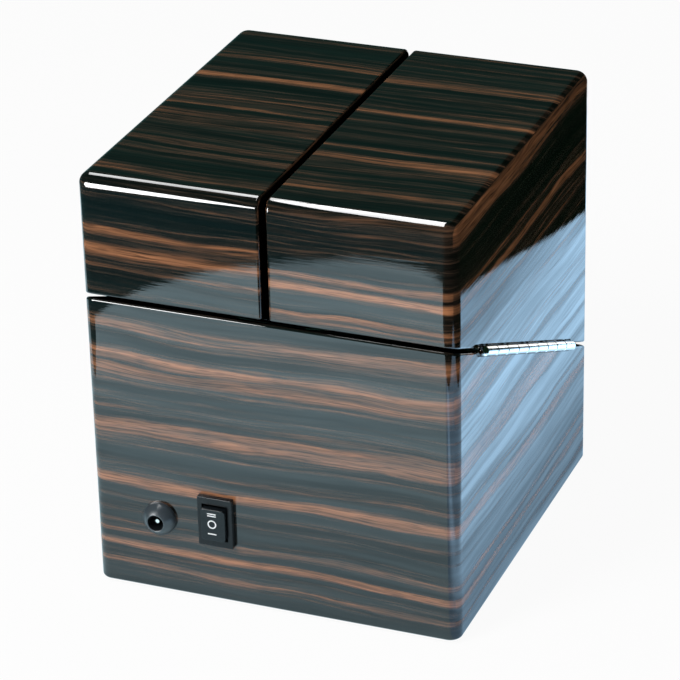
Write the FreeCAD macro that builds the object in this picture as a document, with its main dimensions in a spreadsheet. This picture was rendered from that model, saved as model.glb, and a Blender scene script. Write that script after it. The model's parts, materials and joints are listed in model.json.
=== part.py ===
import FreeCAD, Part
import math
import os
import re
import Sketcher

V = FreeCAD.Vector
doc = FreeCAD.newDocument("watch_winder_box")
sheet = doc.addObject("Spreadsheet::Sheet", "Sizes")

# Driving sizes in millimetres, degrees and counts
SIZES = {
    # Wooden box: the front is -Y, the back with the switch and socket is +Y
    "box_width": 150, "box_depth": 160, "box_height": 173, "wall": 8,
    "upright_round": 5, "top_round": 4.5, "groove_round": 1.2, "rim_round": 0.8,
    "base_round": 1.2,
    "split_angle": 24.4, "split_height": 87.4, "split_gap": 1.5, "wing_gap": 2.8,
    "lining_thick": 1, "lining_setback": 0.6,
    "bottom_thick": 6, "rebate": 4, "fit_gap": 0.2,
    "pad_thick": 1.5, "pad_inset": 3, "pad_round": 4,
    "block_size": 16, "block_height": 18,
    "wood_screw_radius": 1.5, "wood_screw_head": 3, "wood_screw_length": 16,
    # Sloping deck with the round opening for the rotor
    "deck_thick": 5, "deck_drop": 3, "cleat_size": 8, "cleat_length": 120,
    "bezel_band": 5, "bezel_height": 2.5, "bezel_round": 1.1, "collar_wall": 1.6, "collar_drop": 1,
    # Rotor: a round face with a bucket for the cushion below it
    "face_radius": 49, "face_rise": 1.5, "face_thick": 2.5, "face_round": 0.8, "run_gap": 0.6,
    "skirt_wall": 2, "skirt_depth": 6, "cup_depth": 22, "cup_floor": 3, "cup_wall": 2, "pocket_round": 5,
    "boss_radius": 16, "shaft_seat": 2,
    "cushion_length": 70, "cushion_width": 46, "cushion_height": 42, "cushion_crown": 4,
    "cushion_gap": 0.6, "cushion_round": 17,
    # Drive: rotor gear, pinion and geared motor under the bracket plate
    "gear_module": 1, "gear_teeth": 54, "pinion_teeth": 18, "pressure_angle": 20, "mesh_gap": 0.15,
    "gear_drop": 2.5, "gear_face": 5, "hub_radius": 8, "hub_length": 2.2,
    "web_hole_count": 6, "web_hole_radius": 4, "web_hole_ring": 18.5, "pinion_overlap": 0.5,
    "cup_screw_count": 3, "cup_screw_ring": 12, "cup_screw_radius": 1.25, "cup_screw_head": 2.2,
    "cup_screw_depth": 2,
    "shaft_radius": 4, "shaft_fit": 0.05, "shaft_tail": 3.5, "groove_depth": 0.8, "clip_radius": 7,
    "clip_thick": 0.8, "clip_slot": 5,
    "bush_radius": 6, "bush_flange_radius": 9, "bush_flange": 1.5, "bush_length": 6, "axial_gap": 0.3,
    "bracket_thick": 2.5, "bracket_length": 100, "bracket_margin": 3, "bracket_round": 6,
    "post_radius": 4, "post_gap": 3, "post_ring": 42,
    "small_screw_radius": 1.5, "small_screw_head": 2.75, "small_screw_head_height": 2,
    "small_screw_length": 10,
    "gearbox_radius": 12.5, "gearbox_length": 19, "nose_radius": 3.5, "nose_length": 2.5,
    "out_shaft_radius": 2, "out_shaft_depth": 8, "motor_screw_ring": 8.5,
    "can_radius": 12.2, "can_length": 15, "can_round": 1.5, "cap_radius": 10, "cap_thick": 1.5,
    "tag_length": 3.5, "tag_width": 2.2, "tag_thick": 0.5, "tag_spread": 6,
    # Side hinges: two leaves with knuckles that take turns along one pin
    "hinge_length": 118, "knuckles": 9, "knuckle_gap": 0.3, "knuckle_chamfer": 0.4, "barrel_radius": 2,
    "barrel_offset": 1.3, "pin_head": 1, "cove_gap": 0.8, "cove_taper": 3.5, "hinge_pin_radius": 1,
    "hinge_fit": 0.06,
    "leaf_thick": 1, "leaf_reach": 6.5, "leaf_split": 0.5, "leaf_screws": 5,
    "leaf_screw_radius": 0.8, "leaf_screw_head": 1.6, "leaf_screw_length": 9,
    # Rocker switch in the back wall
    "switch_pitch": 24.05, "switch_height": 35.4, "frame_width": 14.4, "frame_height": 21.3,
    "frame_thick": 2.4,
    "frame_round": 0.45, "body_width": 12.8, "body_height": 18.8, "body_depth": 14,
    "slot_width": 10.6, "slot_height": 15.4, "slot_depth": 12, "rocker_gap": 0.3, "rocker_half": 6.8,
    "rocker_foot": 6.9, "rocker_proud": 2.2, "rocker_dip": 0.35, "rocker_round": 1.2, "rocker_edge": 0.3,
    "pivot_depth": 3, "pivot_radius": 1.2, "pivot_length": 0.9, "pivot_fit": 0.05,
    "blade_width": 4.8, "blade_thick": 0.8, "blade_length": 7, "blade_pitch": 6,
    # Power socket beside the switch
    "socket_inset": 28, "socket_height": 32, "flange_radius": 6.8, "flange_height": 5.2, "flange_edge": 1.4,
    "flange_round": 0.35, "mouth_radius": 3.2, "barrel_bore": 9.5, "thread_radius": 5.5, "thread_length": 15,
    "contact_radius": 0.8, "contact_length": 7.2, "nut_across": 14, "nut_thick": 2.5,
    "lug_length": 5, "lug_width": 2, "lug_thick": 0.5,
    # Control board on the bottom panel
    "board_gap": 13, "board_length": 58, "board_width": 34, "board_thick": 1.6, "board_lift": 5,
    "board_inset": 4, "board_post_radius": 2.5, "board_post_floor": 1,
    "board_screw_radius": 1.1, "board_screw_head": 2,
    "chip_length": 10, "chip_width": 6.5, "chip_height": 3.5, "cell_radius": 4, "cell_height": 11,
    "plug_length": 8, "plug_width": 6, "plug_height": 7, "plug_wall": 1, "plug_floor": 1.5,
    # Insulated wires from the switch, the socket and the motor to the board
    "lead_radius": 0.7, "lead_pitch": 1.6, "lead_bend": 4, "lead_bow": 7, "lead_arch": 11,
    "lead_reach": 11, "lead_side": 2, "lead_step": 4,
}
for row, (alias, value) in enumerate(SIZES.items(), 1):
    sheet.set(f"A{row}", str(value))
    sheet.setAlias(f"A{row}", alias)
doc.recompute()


def size(name):
    """Number held in a cell."""
    return float(sheet.get(name))


def ex(text):
    """Formula with every size named by its cell."""
    return re.sub(r"[a-z][a-z_]*[a-z]", lambda m: "Sizes." + m[0] if m[0] in SIZES else m[0], text)


def number(formula):
    """Present value of a formula."""
    return float(sheet.evalExpression(ex(formula)))


def bind(thing, **formulas):
    for name, text in formulas.items():
        thing.setExpression(name, ex(text))
    return thing


# Heights along the slope's normal, from the middle of the split
BASE_RIM = "-split_gap / 2"
DECK_TOP = f"{BASE_RIM} - deck_drop"
DECK_LOW = f"{DECK_TOP} - deck_thick"
FACE = f"{DECK_TOP} + face_rise"
CUP_LOW = f"{FACE} - cup_depth"
POCKET_FLOOR = f"{CUP_LOW} + cup_floor"
GEAR_TOP = f"{CUP_LOW} - gear_drop"
GEAR_LOW = f"{GEAR_TOP} - gear_face"
HUB_LOW = f"{GEAR_LOW} - hub_length"
BRACKET_TOP = f"{HUB_LOW} - axial_gap - bush_flange"
BRACKET_LOW = f"{BRACKET_TOP} - bracket_thick"
BUSH_LOW = f"{BRACKET_LOW} - bush_length"
CLIP_TOP = f"{BUSH_LOW} - axial_gap"
GEARBOX_LOW = f"{BRACKET_LOW} - gearbox_length"
CAN_LOW = f"{GEARBOX_LOW} - can_length"
TAG_LOW = f"{CAN_LOW} - cap_thick - tag_length"

# Other shared places
INNER_X = "(box_width / 2 - wall)"
INNER_Y = "(box_depth / 2 - wall)"
MESH = "(gear_module * (gear_teeth + pinion_teeth) / 2 + mesh_gap)"
HOLE_RADIUS = "(face_radius + run_gap + collar_wall)"
POST_X = f"({INNER_X} - cleat_size - post_gap - post_radius)"
POCKET_X = "(cushion_width / 2 + cushion_gap)"
POCKET_Y = "(cushion_length / 2 + cushion_gap)"
HINGE_X = "(-box_width / 2 - barrel_offset)"
FLOOR = "(pad_thick + bottom_thick)"
SWITCH_Z = "(pad_thick + switch_height)"
SOCKET_Z = "(pad_thick + socket_height)"
PIVOT_Y = "(box_depth / 2 + frame_thick - pivot_depth)"
SOCKET_X = "(box_width / 2 - socket_inset)"
SWITCH_X = f"({SOCKET_X} - switch_pitch)"

# How far a cutting tool runs past the face it opens, and the size a sketch starts from
OVER = 1
ROUGH = 10


def split_at(y, side):
    """Height of the split's upper or lower face above the wood's underside, at depth y."""
    return f"split_height + ({y}) * tan(split_angle) {side} split_gap / 2 / cos(split_angle)"


# Placing
def turn(thing, axis, formula):
    thing.Placement = FreeCAD.Placement(V(), FreeCAD.Rotation(axis, 1))
    thing.setExpression("Placement.Rotation.Angle", ex(formula))


def put(thing, x="0", y="0", z="0", lean="0"):
    """Place in the box's own frame; lean turns it about X."""
    if lean != "0":
        turn(thing, V(1, 0, 0), lean)
    for name, text in zip("xyz", (x, y, z)):
        thing.setExpression(f"Placement.Base.{name}", ex(text))
    return thing


def tilt(thing, x="0", u="0", n="0", lean="0"):
    """Place in the sloping frame: u runs up the slope to the back, n along its normal."""
    y = f"({u}) * cos(split_angle) - ({n}) * sin(split_angle)"
    z = f"pad_thick + split_height + ({u}) * sin(split_angle) + ({n}) * cos(split_angle)"
    return put(thing, x, y, z, f"split_angle + ({lean})")


# Primitives, booleans and groups
def block(length, width, height):
    return bind(doc.addObject("Part::Box", "Block"), Length=length, Width=width, Height=height)


def rod(radius, height):
    return bind(doc.addObject("Part::Cylinder", "Rod"), Radius=radius, Height=height)


def cone(low_radius, high_radius, height):
    return bind(doc.addObject("Part::Cone", "Cone"), Radius1=low_radius, Radius2=high_radius, Height=height)


def ball(radius):
    return bind(doc.addObject("Part::Sphere", "Ball"), Radius=radius)


def join(*pieces):
    fused = doc.addObject("Part::MultiFuse", "Joined")
    fused.Shapes = list(pieces)
    return fused


def group(*pieces):
    bundle = doc.addObject("Part::Compound", "Group")
    bundle.Links = list(pieces)
    return bundle


def cut(base, *tools):
    result = doc.addObject("Part::Cut", "Cut")
    result.Base = base
    result.Tool = tools[0] if len(tools) == 1 else group(*tools)
    return result


def common(base, tool):
    result = doc.addObject("Part::Common", "Common")
    result.Base = base
    result.Tool = tool
    return result


def mirrored(thing):
    """The same piece on the other side of the box."""
    other = doc.addObject("Part::Mirroring", "Mirrored")
    other.Source = thing
    other.Normal = V(1, 0, 0)
    return other


NODES = []


def node(label, thing):
    thing.Label = label
    NODES.append(thing)
    return thing


# Bodies, sketches and features
def new_body():
    return doc.addObject("PartDesign::Body", "Body")


def origin(body, role):
    return next(item for item in body.Origin.OriginFeatures if item.Role == role)


def sketch_on(body, plane, offset="0"):
    sketch = body.newObject("Sketcher::SketchObject", "Sketch")
    sketch.AttachmentSupport = [(origin(body, plane), "")]
    sketch.MapMode = "FlatFace"
    sketch.setExpression("AttachmentOffset.Base.z", ex(offset))
    return sketch


def fix(sketch, formula, kind, *spot):
    index = sketch.addConstraint(Sketcher.Constraint(kind, *spot))
    name = f"size{index}"
    sketch.renameConstraint(index, name)
    sketch.setExpression(f"Constraints.{name}", ex(formula))


def outline(sketch, points):
    """Closed polygon with every corner held by its sizes."""
    count = len(points)
    angles = [2 * math.pi * i / count for i in range(count)]
    ring = [V(ROUGH * math.cos(angle), ROUGH * math.sin(angle), 0) for angle in angles]
    edges = []
    for i in range(count):
        edges.append(sketch.addGeometry(Part.LineSegment(ring[i], ring[(i + 1) % count]), False))
    for i in range(count):
        sketch.addConstraint(Sketcher.Constraint("Coincident", edges[i - 1], 2, edges[i], 1))
    for edge, start, (x, y) in zip(edges, ring, points):
        fix(sketch, x, "DistanceX", -1, 1, edge, 1, start.x)
        fix(sketch, y, "DistanceY", -1, 1, edge, 1, start.y)
    return sketch


def rectangle(sketch, half_x, half_y, x="0", y="0"):
    corners = ((-1, -1), (1, -1), (1, 1), (-1, 1))
    return outline(sketch, [(f"{x} + ({i}) * {half_x}", f"{y} + ({j}) * {half_y}") for i, j in corners])


def circle(sketch, radius, x="0", y="0"):
    edge = sketch.addGeometry(Part.Circle(V(ROUGH, ROUGH, 0), V(0, 0, 1), ROUGH), False)
    fix(sketch, x, "DistanceX", -1, 1, edge, 3, ROUGH)
    fix(sketch, y, "DistanceY", -1, 1, edge, 3, ROUGH)
    fix(sketch, radius, "Radius", edge, ROUGH)
    return sketch


def extrude(body, kind, sketch, length=None, flip=False, both_ways=False):
    """Pad or Pocket; with no length a pocket runs through everything."""
    feature = body.newObject(f"PartDesign::{kind}", kind)
    feature.Profile = sketch
    feature.Reversed = flip
    if both_ways:
        feature.SideType = "Symmetric"
    if length is None:
        feature.Type = "ThroughAll"
    else:
        feature.setExpression("Length", ex(length))
    doc.recompute()
    return feature


def round_edges(body, radius, chosen):
    """Fillet the edges of the body's last feature that the test picks by their middle point."""
    last = body.Tip
    names = []
    for index, edge in enumerate(last.Shape.Edges, 1):
        middle = edge.valueAt((edge.FirstParameter + edge.LastParameter) / 2)
        if chosen(edge, middle):
            names.append(f"Edge{index}")
    fillet = body.newObject("PartDesign::Fillet", "Fillet")
    fillet.Base = (last, names)
    fillet.setExpression("Radius", ex(radius))
    doc.recompute()
    return fillet


def soften(thing, radius, chosen):
    """Fillet the edges of a finished solid that the test picks by their middle point."""
    doc.recompute()
    picked = []
    for index, edge in enumerate(thing.Shape.Edges, 1):
        if chosen(edge.valueAt((edge.FirstParameter + edge.LastParameter) / 2)):
            picked.append((index, size(radius), size(radius)))
    fillet = doc.addObject("Part::Fillet", "Softened")
    fillet.Base = thing
    fillet.Edges = picked
    return fillet


def turned(points):
    """Body of revolution about Z from a half section of (radius, height) corners."""
    body = new_body()
    sketch = outline(sketch_on(body, "XZ_Plane"), points)
    doc.recompute()
    feature = body.newObject("PartDesign::Revolution", "Revolution")
    feature.Profile = sketch
    feature.ReferenceAxis = (origin(body, "Z_Axis"), [""])
    feature.Angle = 360
    doc.recompute()
    return body


def near(a, b):
    return abs(a - b) < 0.01


def upright(edge):
    low, high = edge.Vertexes[0].Point, edge.Vertexes[-1].Point
    return near(low.x, high.x) and near(low.y, high.y) and not near(low.z, high.z)


half_width = size("box_width") / 2
half_depth = size("box_depth") / 2
inner_x = half_width - size("wall")
inner_y = half_depth - size("wall")
slope = math.tan(math.radians(size("split_angle")))
gap_rise = size("split_gap") / 2 / math.cos(math.radians(size("split_angle")))


def on_outside(middle):
    """Whether a point lies beyond the inner faces of the walls and of the bottom rebate."""
    inside = near(abs(middle.x), inner_x) or near(abs(middle.y), inner_y)
    groove = near(abs(middle.x), inner_x + size("rebate")) or near(abs(middle.y), inner_y + size("rebate"))
    return not inside and not groove


# Side hinge, made once for the -X side and mirrored
LEAF_SET = "(barrel_radius + knuckle_gap - barrel_offset)"
COVE_RADIUS = "(barrel_radius + cove_gap)"
COVE_END = "(hinge_length / 2 + pin_head + cove_gap)"
HEAD_BALL = "((barrel_radius ^ 2 + pin_head ^ 2) / (2 * pin_head))"
hinge_count = int(size("knuckles"))
screw_count = int(size("leaf_screws"))


def along_hinge(thing, start):
    """Lay an upright piece on the hinge's axis, from the start upwards."""
    return tilt(thing, HINGE_X, start, "0", "-90")


def knuckle(start, length):
    """One length of the barrel, chamfered at both rims."""
    rim = "barrel_radius - knuckle_chamfer"
    lower = cone(rim, "barrel_radius", "knuckle_chamfer")
    middle = rod("barrel_radius", f"{length} - 2 * knuckle_chamfer")
    upper = cone("barrel_radius", rim, "knuckle_chamfer")
    return [along_hinge(lower, start), along_hinge(middle, f"{start} + knuckle_chamfer"),
            along_hinge(upper, f"{start} + {length} - knuckle_chamfer")]


def hinge_leaf(low, first, bore, narrow, wide):
    """Leaf plate with every second knuckle of the barrel, from `first` on, and countersunk holes."""
    plate = tilt(block(f"leaf_reach - {LEAF_SET}", "hinge_length", "leaf_thick"),
                 f"-box_width / 2 + {LEAF_SET}", "-hinge_length / 2", low)
    pieces = [plate]
    pitch = "hinge_length / knuckles"
    for i in range(first, hinge_count, 2):
        start = f"-hinge_length / 2 + {i} * {pitch} + knuckle_gap / 2"
        pieces.append(tilt(block("barrel_radius + knuckle_gap", f"{pitch} - knuckle_gap", "leaf_thick"),
                           HINGE_X, start, low))
        pieces += knuckle(start, f"{pitch} - knuckle_gap")
    hole = along_hinge(rod(bore, f"hinge_length + {2 * OVER}"), f"-hinge_length / 2 - {OVER}")
    sinks = [tilt(cone(narrow, wide, "leaf_thick"), *screw_spot(i), low) for i in range(screw_count)]
    return cut(join(*pieces), hole, *sinks)


def screw_spot(i):
    """Place of a leaf screw across and along the slope."""
    along = f"({i} + 0.5) * hinge_length / leaf_screws - hinge_length / 2"
    return f"-box_width / 2 + ({LEAF_SET} + leaf_reach) / 2", along


def leaf_screw_set(low, narrow, wide, shank_low):
    screws = []
    for i in range(screw_count):
        head = tilt(cone(narrow, wide, "leaf_thick"), *screw_spot(i), low)
        shank = tilt(rod("leaf_screw_radius", "leaf_screw_length - leaf_thick"), *screw_spot(i), shank_low)
        screws.append(join(head, shank))
    return screws


def leaf_seat(low, shank_low):
    """Bed for a leaf in the wood, a pilot hole for each screw and a cove round the barrel."""
    bed = tilt(block(f"leaf_reach + fit_gap + {OVER}", "hinge_length + 2 * fit_gap", "leaf_thick"),
               f"-box_width / 2 - {OVER}", "-hinge_length / 2 - fit_gap", low)
    pilots = [tilt(rod("leaf_screw_radius", "leaf_screw_length - leaf_thick"), *screw_spot(i), shank_low)
              for i in range(screw_count)]
    cove = along_hinge(rod(COVE_RADIUS, f"2 * {COVE_END}"), f"-{COVE_END}")
    lower = along_hinge(cone("barrel_offset", COVE_RADIUS, "cove_taper"), f"-{COVE_END} - cove_taper")
    upper = along_hinge(cone(COVE_RADIUS, "barrel_offset", "cove_taper"), COVE_END)
    return join(bed, *pilots, cove, lower, upper)


BASE_LEAF = "-leaf_split / 2 - leaf_thick"
WING_LEAF = "leaf_split / 2"
BASE_SHANK = f"{BASE_LEAF} - leaf_screw_length + leaf_thick"
WING_SHANK = f"{WING_LEAF} + leaf_thick"

base_leaf = hinge_leaf(BASE_LEAF, 0, "hinge_pin_radius", "leaf_screw_radius", "leaf_screw_head")
wing_leaf = hinge_leaf(WING_LEAF, 1, "hinge_pin_radius + hinge_fit", "leaf_screw_head", "leaf_screw_radius")
pin_rod = along_hinge(rod("hinge_pin_radius", "hinge_length"), "-hinge_length / 2")
upper_head = common(along_hinge(rod("barrel_radius", "pin_head"), "hinge_length / 2"),
                    along_hinge(ball(HEAD_BALL), f"hinge_length / 2 + pin_head - {HEAD_BALL}"))
lower_head = common(along_hinge(rod("barrel_radius", "pin_head"), "-hinge_length / 2 - pin_head"),
                    along_hinge(ball(HEAD_BALL), f"-hinge_length / 2 - pin_head + {HEAD_BALL}"))
hinge_pin = join(pin_rod, upper_head, lower_head)
base_screws = leaf_screw_set(BASE_LEAF, "leaf_screw_radius", "leaf_screw_head", BASE_SHANK)
wing_screws = group(*leaf_screw_set(WING_LEAF, "leaf_screw_head", "leaf_screw_radius", WING_SHANK))
base_seat = leaf_seat(BASE_LEAF, BASE_SHANK)
wing_seat = leaf_seat(WING_LEAF, WING_SHANK)

# Base carcass: four walls under a sloping rim
carcass = put(new_body(), z="pad_thick")
side = outline(sketch_on(carcass, "YZ_Plane"), [
    ("-box_depth / 2", "0"), ("box_depth / 2", "0"),
    ("box_depth / 2", split_at("box_depth / 2", "-")), ("-box_depth / 2", split_at("-box_depth / 2", "-"))])
extrude(carcass, "Pad", side, "box_width", both_ways=True)
round_edges(carcass, "upright_round", lambda edge, middle: upright(edge))
extrude(carcass, "Pocket", rectangle(sketch_on(carcass, "XY_Plane"), INNER_X, INNER_Y), flip=True)
rebate_sketch = rectangle(sketch_on(carcass, "XY_Plane"), f"({INNER_X} + rebate)", f"({INNER_Y} + rebate)")
extrude(carcass, "Pocket", rebate_sketch, "bottom_thick", flip=True)
openings = rectangle(sketch_on(carcass, "XZ_Plane"), "(body_width / 2 + fit_gap)",
                     "(body_height / 2 + fit_gap)", SWITCH_X, "switch_height")
circle(openings, "thread_radius + fit_gap", SOCKET_X, "socket_height")
extrude(carcass, "Pocket", openings)


def base_rim_edge(edge, middle):
    height = size("split_height") + middle.y * slope - gap_rise
    return near(middle.z, height) and on_outside(middle)


round_edges(carcass, "rim_round", base_rim_edge)
round_edges(carcass, "base_round", lambda edge, middle: near(middle.z, 0) and on_outside(middle))
node("base_shell", cut(carcass, base_seat, mirrored(base_seat)))

# Bottom panel, glue blocks, screws and the felt pad that covers them
PANEL_X = f"({INNER_X} + rebate - fit_gap)"
PANEL_Y = f"({INNER_Y} + rebate - fit_gap)"
panel = put(block(f"2 * {PANEL_X}", f"2 * {PANEL_Y}", "bottom_thick"), f"-{PANEL_X}", f"-{PANEL_Y}",
            "pad_thick")
corners = [(i, j) for i in (-1, 1) for j in (-1, 1)]
blocks = []
screws = []
for i, j in corners:
    x = f"{i} * ({INNER_X} - block_size / 2)"
    y = f"{j} * ({INNER_Y} - block_size / 2)"
    corner = put(block("block_size", "block_size", "block_height"), f"{x} - block_size / 2",
                 f"{y} - block_size / 2", FLOOR)
    blocks.append(cut(corner, put(rod("wood_screw_radius", "wood_screw_length"), x, y, "pad_thick")))
    head = put(cone("wood_screw_head", "wood_screw_radius", "wood_screw_head - wood_screw_radius"), x, y,
               "pad_thick")
    screws.append(join(head, put(rod("wood_screw_radius", "wood_screw_length"), x, y, "pad_thick")))
node("bottom_panel", cut(panel, *screws))
node("corner_blocks", group(*blocks))
node("bottom_screws", group(*screws))
felt = new_body()
felt_sketch = rectangle(sketch_on(felt, "XY_Plane"), "(box_width / 2 - pad_inset)",
                        "(box_depth / 2 - pad_inset)")
extrude(felt, "Pad", felt_sketch, "pad_thick")
round_edges(felt, "pad_round", lambda edge, middle: upright(edge))
node("base_pad", felt)

# Deck, its cleats and the ring round the rotor
slab = tilt(block("box_width", "2 * box_depth", "deck_thick"), "-box_width / 2", "-box_depth", DECK_LOW)
well = put(block(f"2 * ({INNER_X} - fit_gap)", f"2 * ({INNER_Y} - fit_gap)", "box_height"),
           f"-{INNER_X} + fit_gap", f"-{INNER_Y} + fit_gap", FLOOR)
deck_hole = tilt(rod(HOLE_RADIUS, f"deck_thick + {2 * OVER}"), n=f"{DECK_LOW} - {OVER}")
node("deck_panel", cut(common(slab, well), deck_hole))
cleat = tilt(block("cleat_size", "cleat_length", "cleat_size"), f"-{INNER_X}", "-cleat_length / 2",
             f"{DECK_LOW} - cleat_size")
node("deck_cleats", group(cleat, mirrored(cleat)))
bezel = tilt(turned([
    ("face_radius + run_gap", f"{DECK_LOW} - collar_drop"), (HOLE_RADIUS, f"{DECK_LOW} - collar_drop"),
    (HOLE_RADIUS, DECK_TOP), (f"{HOLE_RADIUS} + bezel_band", DECK_TOP),
    (f"{HOLE_RADIUS} + bezel_band", f"{DECK_TOP} + bezel_height"),
    ("face_radius + run_gap", f"{DECK_TOP} + bezel_height")]))
bezel_top = -size("split_gap") / 2 - size("deck_drop") + size("bezel_height")
round_edges(bezel, "bezel_round", lambda edge, middle: near(middle.z, bezel_top))
node("rotor_bezel", bezel)

# Rotor face with the bucket for the cushion
face_top = -size("split_gap") / 2 - size("deck_drop") + size("face_rise")
cup = tilt(turned([
    ("0", FACE), ("face_radius", FACE), ("face_radius", f"{FACE} - skirt_depth"),
    ("face_radius - skirt_wall", f"{FACE} - skirt_depth"),
    ("face_radius - skirt_wall", f"{FACE} - face_thick"), ("0", f"{FACE} - face_thick")]))
bucket = rectangle(sketch_on(cup, "XY_Plane", f"{FACE} - face_thick"), f"({POCKET_X} + cup_wall)",
                   f"({POCKET_Y} + cup_wall)")
extrude(cup, "Pad", bucket, "cup_depth - face_thick", flip=True)
round_edges(cup, "pocket_round + cup_wall", lambda edge, middle: upright(edge))
extrude(cup, "Pad", circle(sketch_on(cup, "XY_Plane", CUP_LOW), "boss_radius"), "gear_drop", flip=True)
extrude(cup, "Pocket", circle(sketch_on(cup, "XY_Plane", GEAR_TOP), "shaft_radius"), "gear_drop + shaft_seat",
        flip=True)
cup_screw_holes = sketch_on(cup, "XY_Plane", GEAR_TOP)
cup_screw_spots = []
for i in range(int(size("cup_screw_count"))):
    angle = f"({i} * 360 / cup_screw_count)"
    cup_screw_spots.append((f"cup_screw_ring * cos({angle})", f"cup_screw_ring * sin({angle})"))
for spot in cup_screw_spots:
    circle(cup_screw_holes, "cup_screw_radius", *spot)
extrude(cup, "Pocket", cup_screw_holes, "cup_screw_depth", flip=True)
round_edges(cup, "face_round", lambda edge, middle: near(middle.z, face_top))
pocket = tilt(new_body())
pocket_sketch = rectangle(sketch_on(pocket, "XY_Plane", POCKET_FLOOR), POCKET_X, POCKET_Y)
extrude(pocket, "Pad", pocket_sketch, "cup_depth")
round_edges(pocket, "pocket_round", lambda edge, middle: upright(edge))
node("rotor_cup", cut(cup, pocket))

# Watch cushion: rounded sections that shrink towards both ends
cushion = tilt(new_body(), n=POCKET_FLOOR)
sections = []
for place, shrink in ((-0.5, 1), (-0.42, 0.3), (0, 0), (0.42, 0.3), (0.5, 1)):
    inset = shrink * size("cushion_crown")
    half_long = size("cushion_length") / 2 - inset
    half_high = size("cushion_height") / 2 - inset
    radius = size("cushion_round") - inset
    section = sketch_on(cushion, "YZ_Plane", f"({place}) * cushion_width")
    middle_z = size("cushion_gap") + size("cushion_height") / 2
    for i, j, start in ((1, 1, 0), (-1, 1, 90), (-1, -1, 180), (1, -1, 270)):
        centre = V(i * (half_long - radius), middle_z + j * (half_high - radius), 0)
        corner = Part.Circle(centre, V(0, 0, 1), radius)
        section.addGeometry(Part.ArcOfCircle(corner, math.radians(start), math.radians(start + 90)), False)
    for i in range(4):
        arc, following = section.Geometry[i], section.Geometry[(i + 1) % 4]
        section.addGeometry(Part.LineSegment(arc.EndPoint, following.StartPoint), False)
    sections.append(section)
doc.recompute()
loft = cushion.newObject("PartDesign::AdditiveLoft", "Loft")
loft.Profile = sections[0]
loft.Sections = sections[1:]
doc.recompute()
node("watch_cushion", cushion)


# Gears with involute flanks
def toothed_disc(teeth, module, width, phase):
    """Toothed disc standing on Z = 0 with one tooth centred at the phase angle from +X."""
    pressure = math.radians(size("pressure_angle"))
    pitch, base = module * teeth / 2, module * teeth / 2 * math.cos(pressure)
    tip, root = pitch + module, pitch - 1.25 * module
    lean = math.tan(pressure) - pressure

    def flank(radius, middle, hand):
        slip = math.acos(min(1, base / radius))
        angle = math.pi / 2 / teeth + lean - (math.tan(slip) - slip)
        return V(radius * math.cos(middle + hand * angle), radius * math.sin(middle + hand * angle), 0)

    edges = []
    start = max(base, root + module / 20)
    for i in range(teeth):
        middle = 2 * math.pi * i / teeth + phase
        foot_angle = math.pi / 2 / teeth + lean
        corners = [flank(r, middle, -1) for r in (start, (start + tip) / 2, tip)]
        mirror = [flank(r, middle, 1) for r in (tip, (start + tip) / 2, start)]
        low = V(root * math.cos(middle - foot_angle), root * math.sin(middle - foot_angle), 0)
        high = V(root * math.cos(middle + foot_angle), root * math.sin(middle + foot_angle), 0)
        gap_angle = 2 * math.pi / teeth - foot_angle
        next_low = V(root * math.cos(middle + gap_angle), root * math.sin(middle + gap_angle), 0)
        gap_middle = middle + math.pi / teeth
        valley = V(root * math.cos(gap_middle), root * math.sin(gap_middle), 0)
        crest = V(tip * math.cos(middle), tip * math.sin(middle), 0)
        edges += [Part.makeLine(low, corners[0]), Part.Arc(*corners).toShape(),
                  Part.Arc(corners[2], crest, mirror[0]).toShape(), Part.Arc(*mirror).toShape(),
                  Part.makeLine(mirror[2], high), Part.Arc(high, valley, next_low).toShape()]
    disc = doc.addObject("Part::Feature", "Teeth")
    disc.Shape = Part.Face(Part.Wire(edges)).extrude(V(0, 0, width))
    return disc


module = size("gear_module")
gear_teeth = tilt(toothed_disc(int(size("gear_teeth")), module, size("gear_face"), math.pi), n=GEAR_LOW)
gear_hub = tilt(rod("hub_radius", "hub_length + gear_face"), n=HUB_LOW)
gear_bore = tilt(rod("shaft_radius", f"hub_length + gear_face + {2 * OVER}"), n=f"{HUB_LOW} - {OVER}")
gear_holes = []
for i in range(int(size("web_hole_count"))):
    angle = f"(({i} + 0.5) * 360 / web_hole_count)"
    gear_holes.append(tilt(rod("web_hole_radius", f"gear_face + {2 * OVER}"), f"web_hole_ring * cos({angle})",
                           f"web_hole_ring * sin({angle})", f"{GEAR_LOW} - {OVER}"))
cup_screws = []
for spot in cup_screw_spots:
    shank = tilt(rod("cup_screw_radius", "gear_face + cup_screw_depth"), *spot, GEAR_LOW)
    cup_screws.append(join(shank, tilt(rod("cup_screw_head", "hub_length - axial_gap"), *spot,
                                       f"{HUB_LOW} + axial_gap")))
node("rotor_gear", cut(join(gear_teeth, gear_hub), gear_bore, *gear_holes, *cup_screws))
node("cup_screws", group(*cup_screws))

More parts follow.
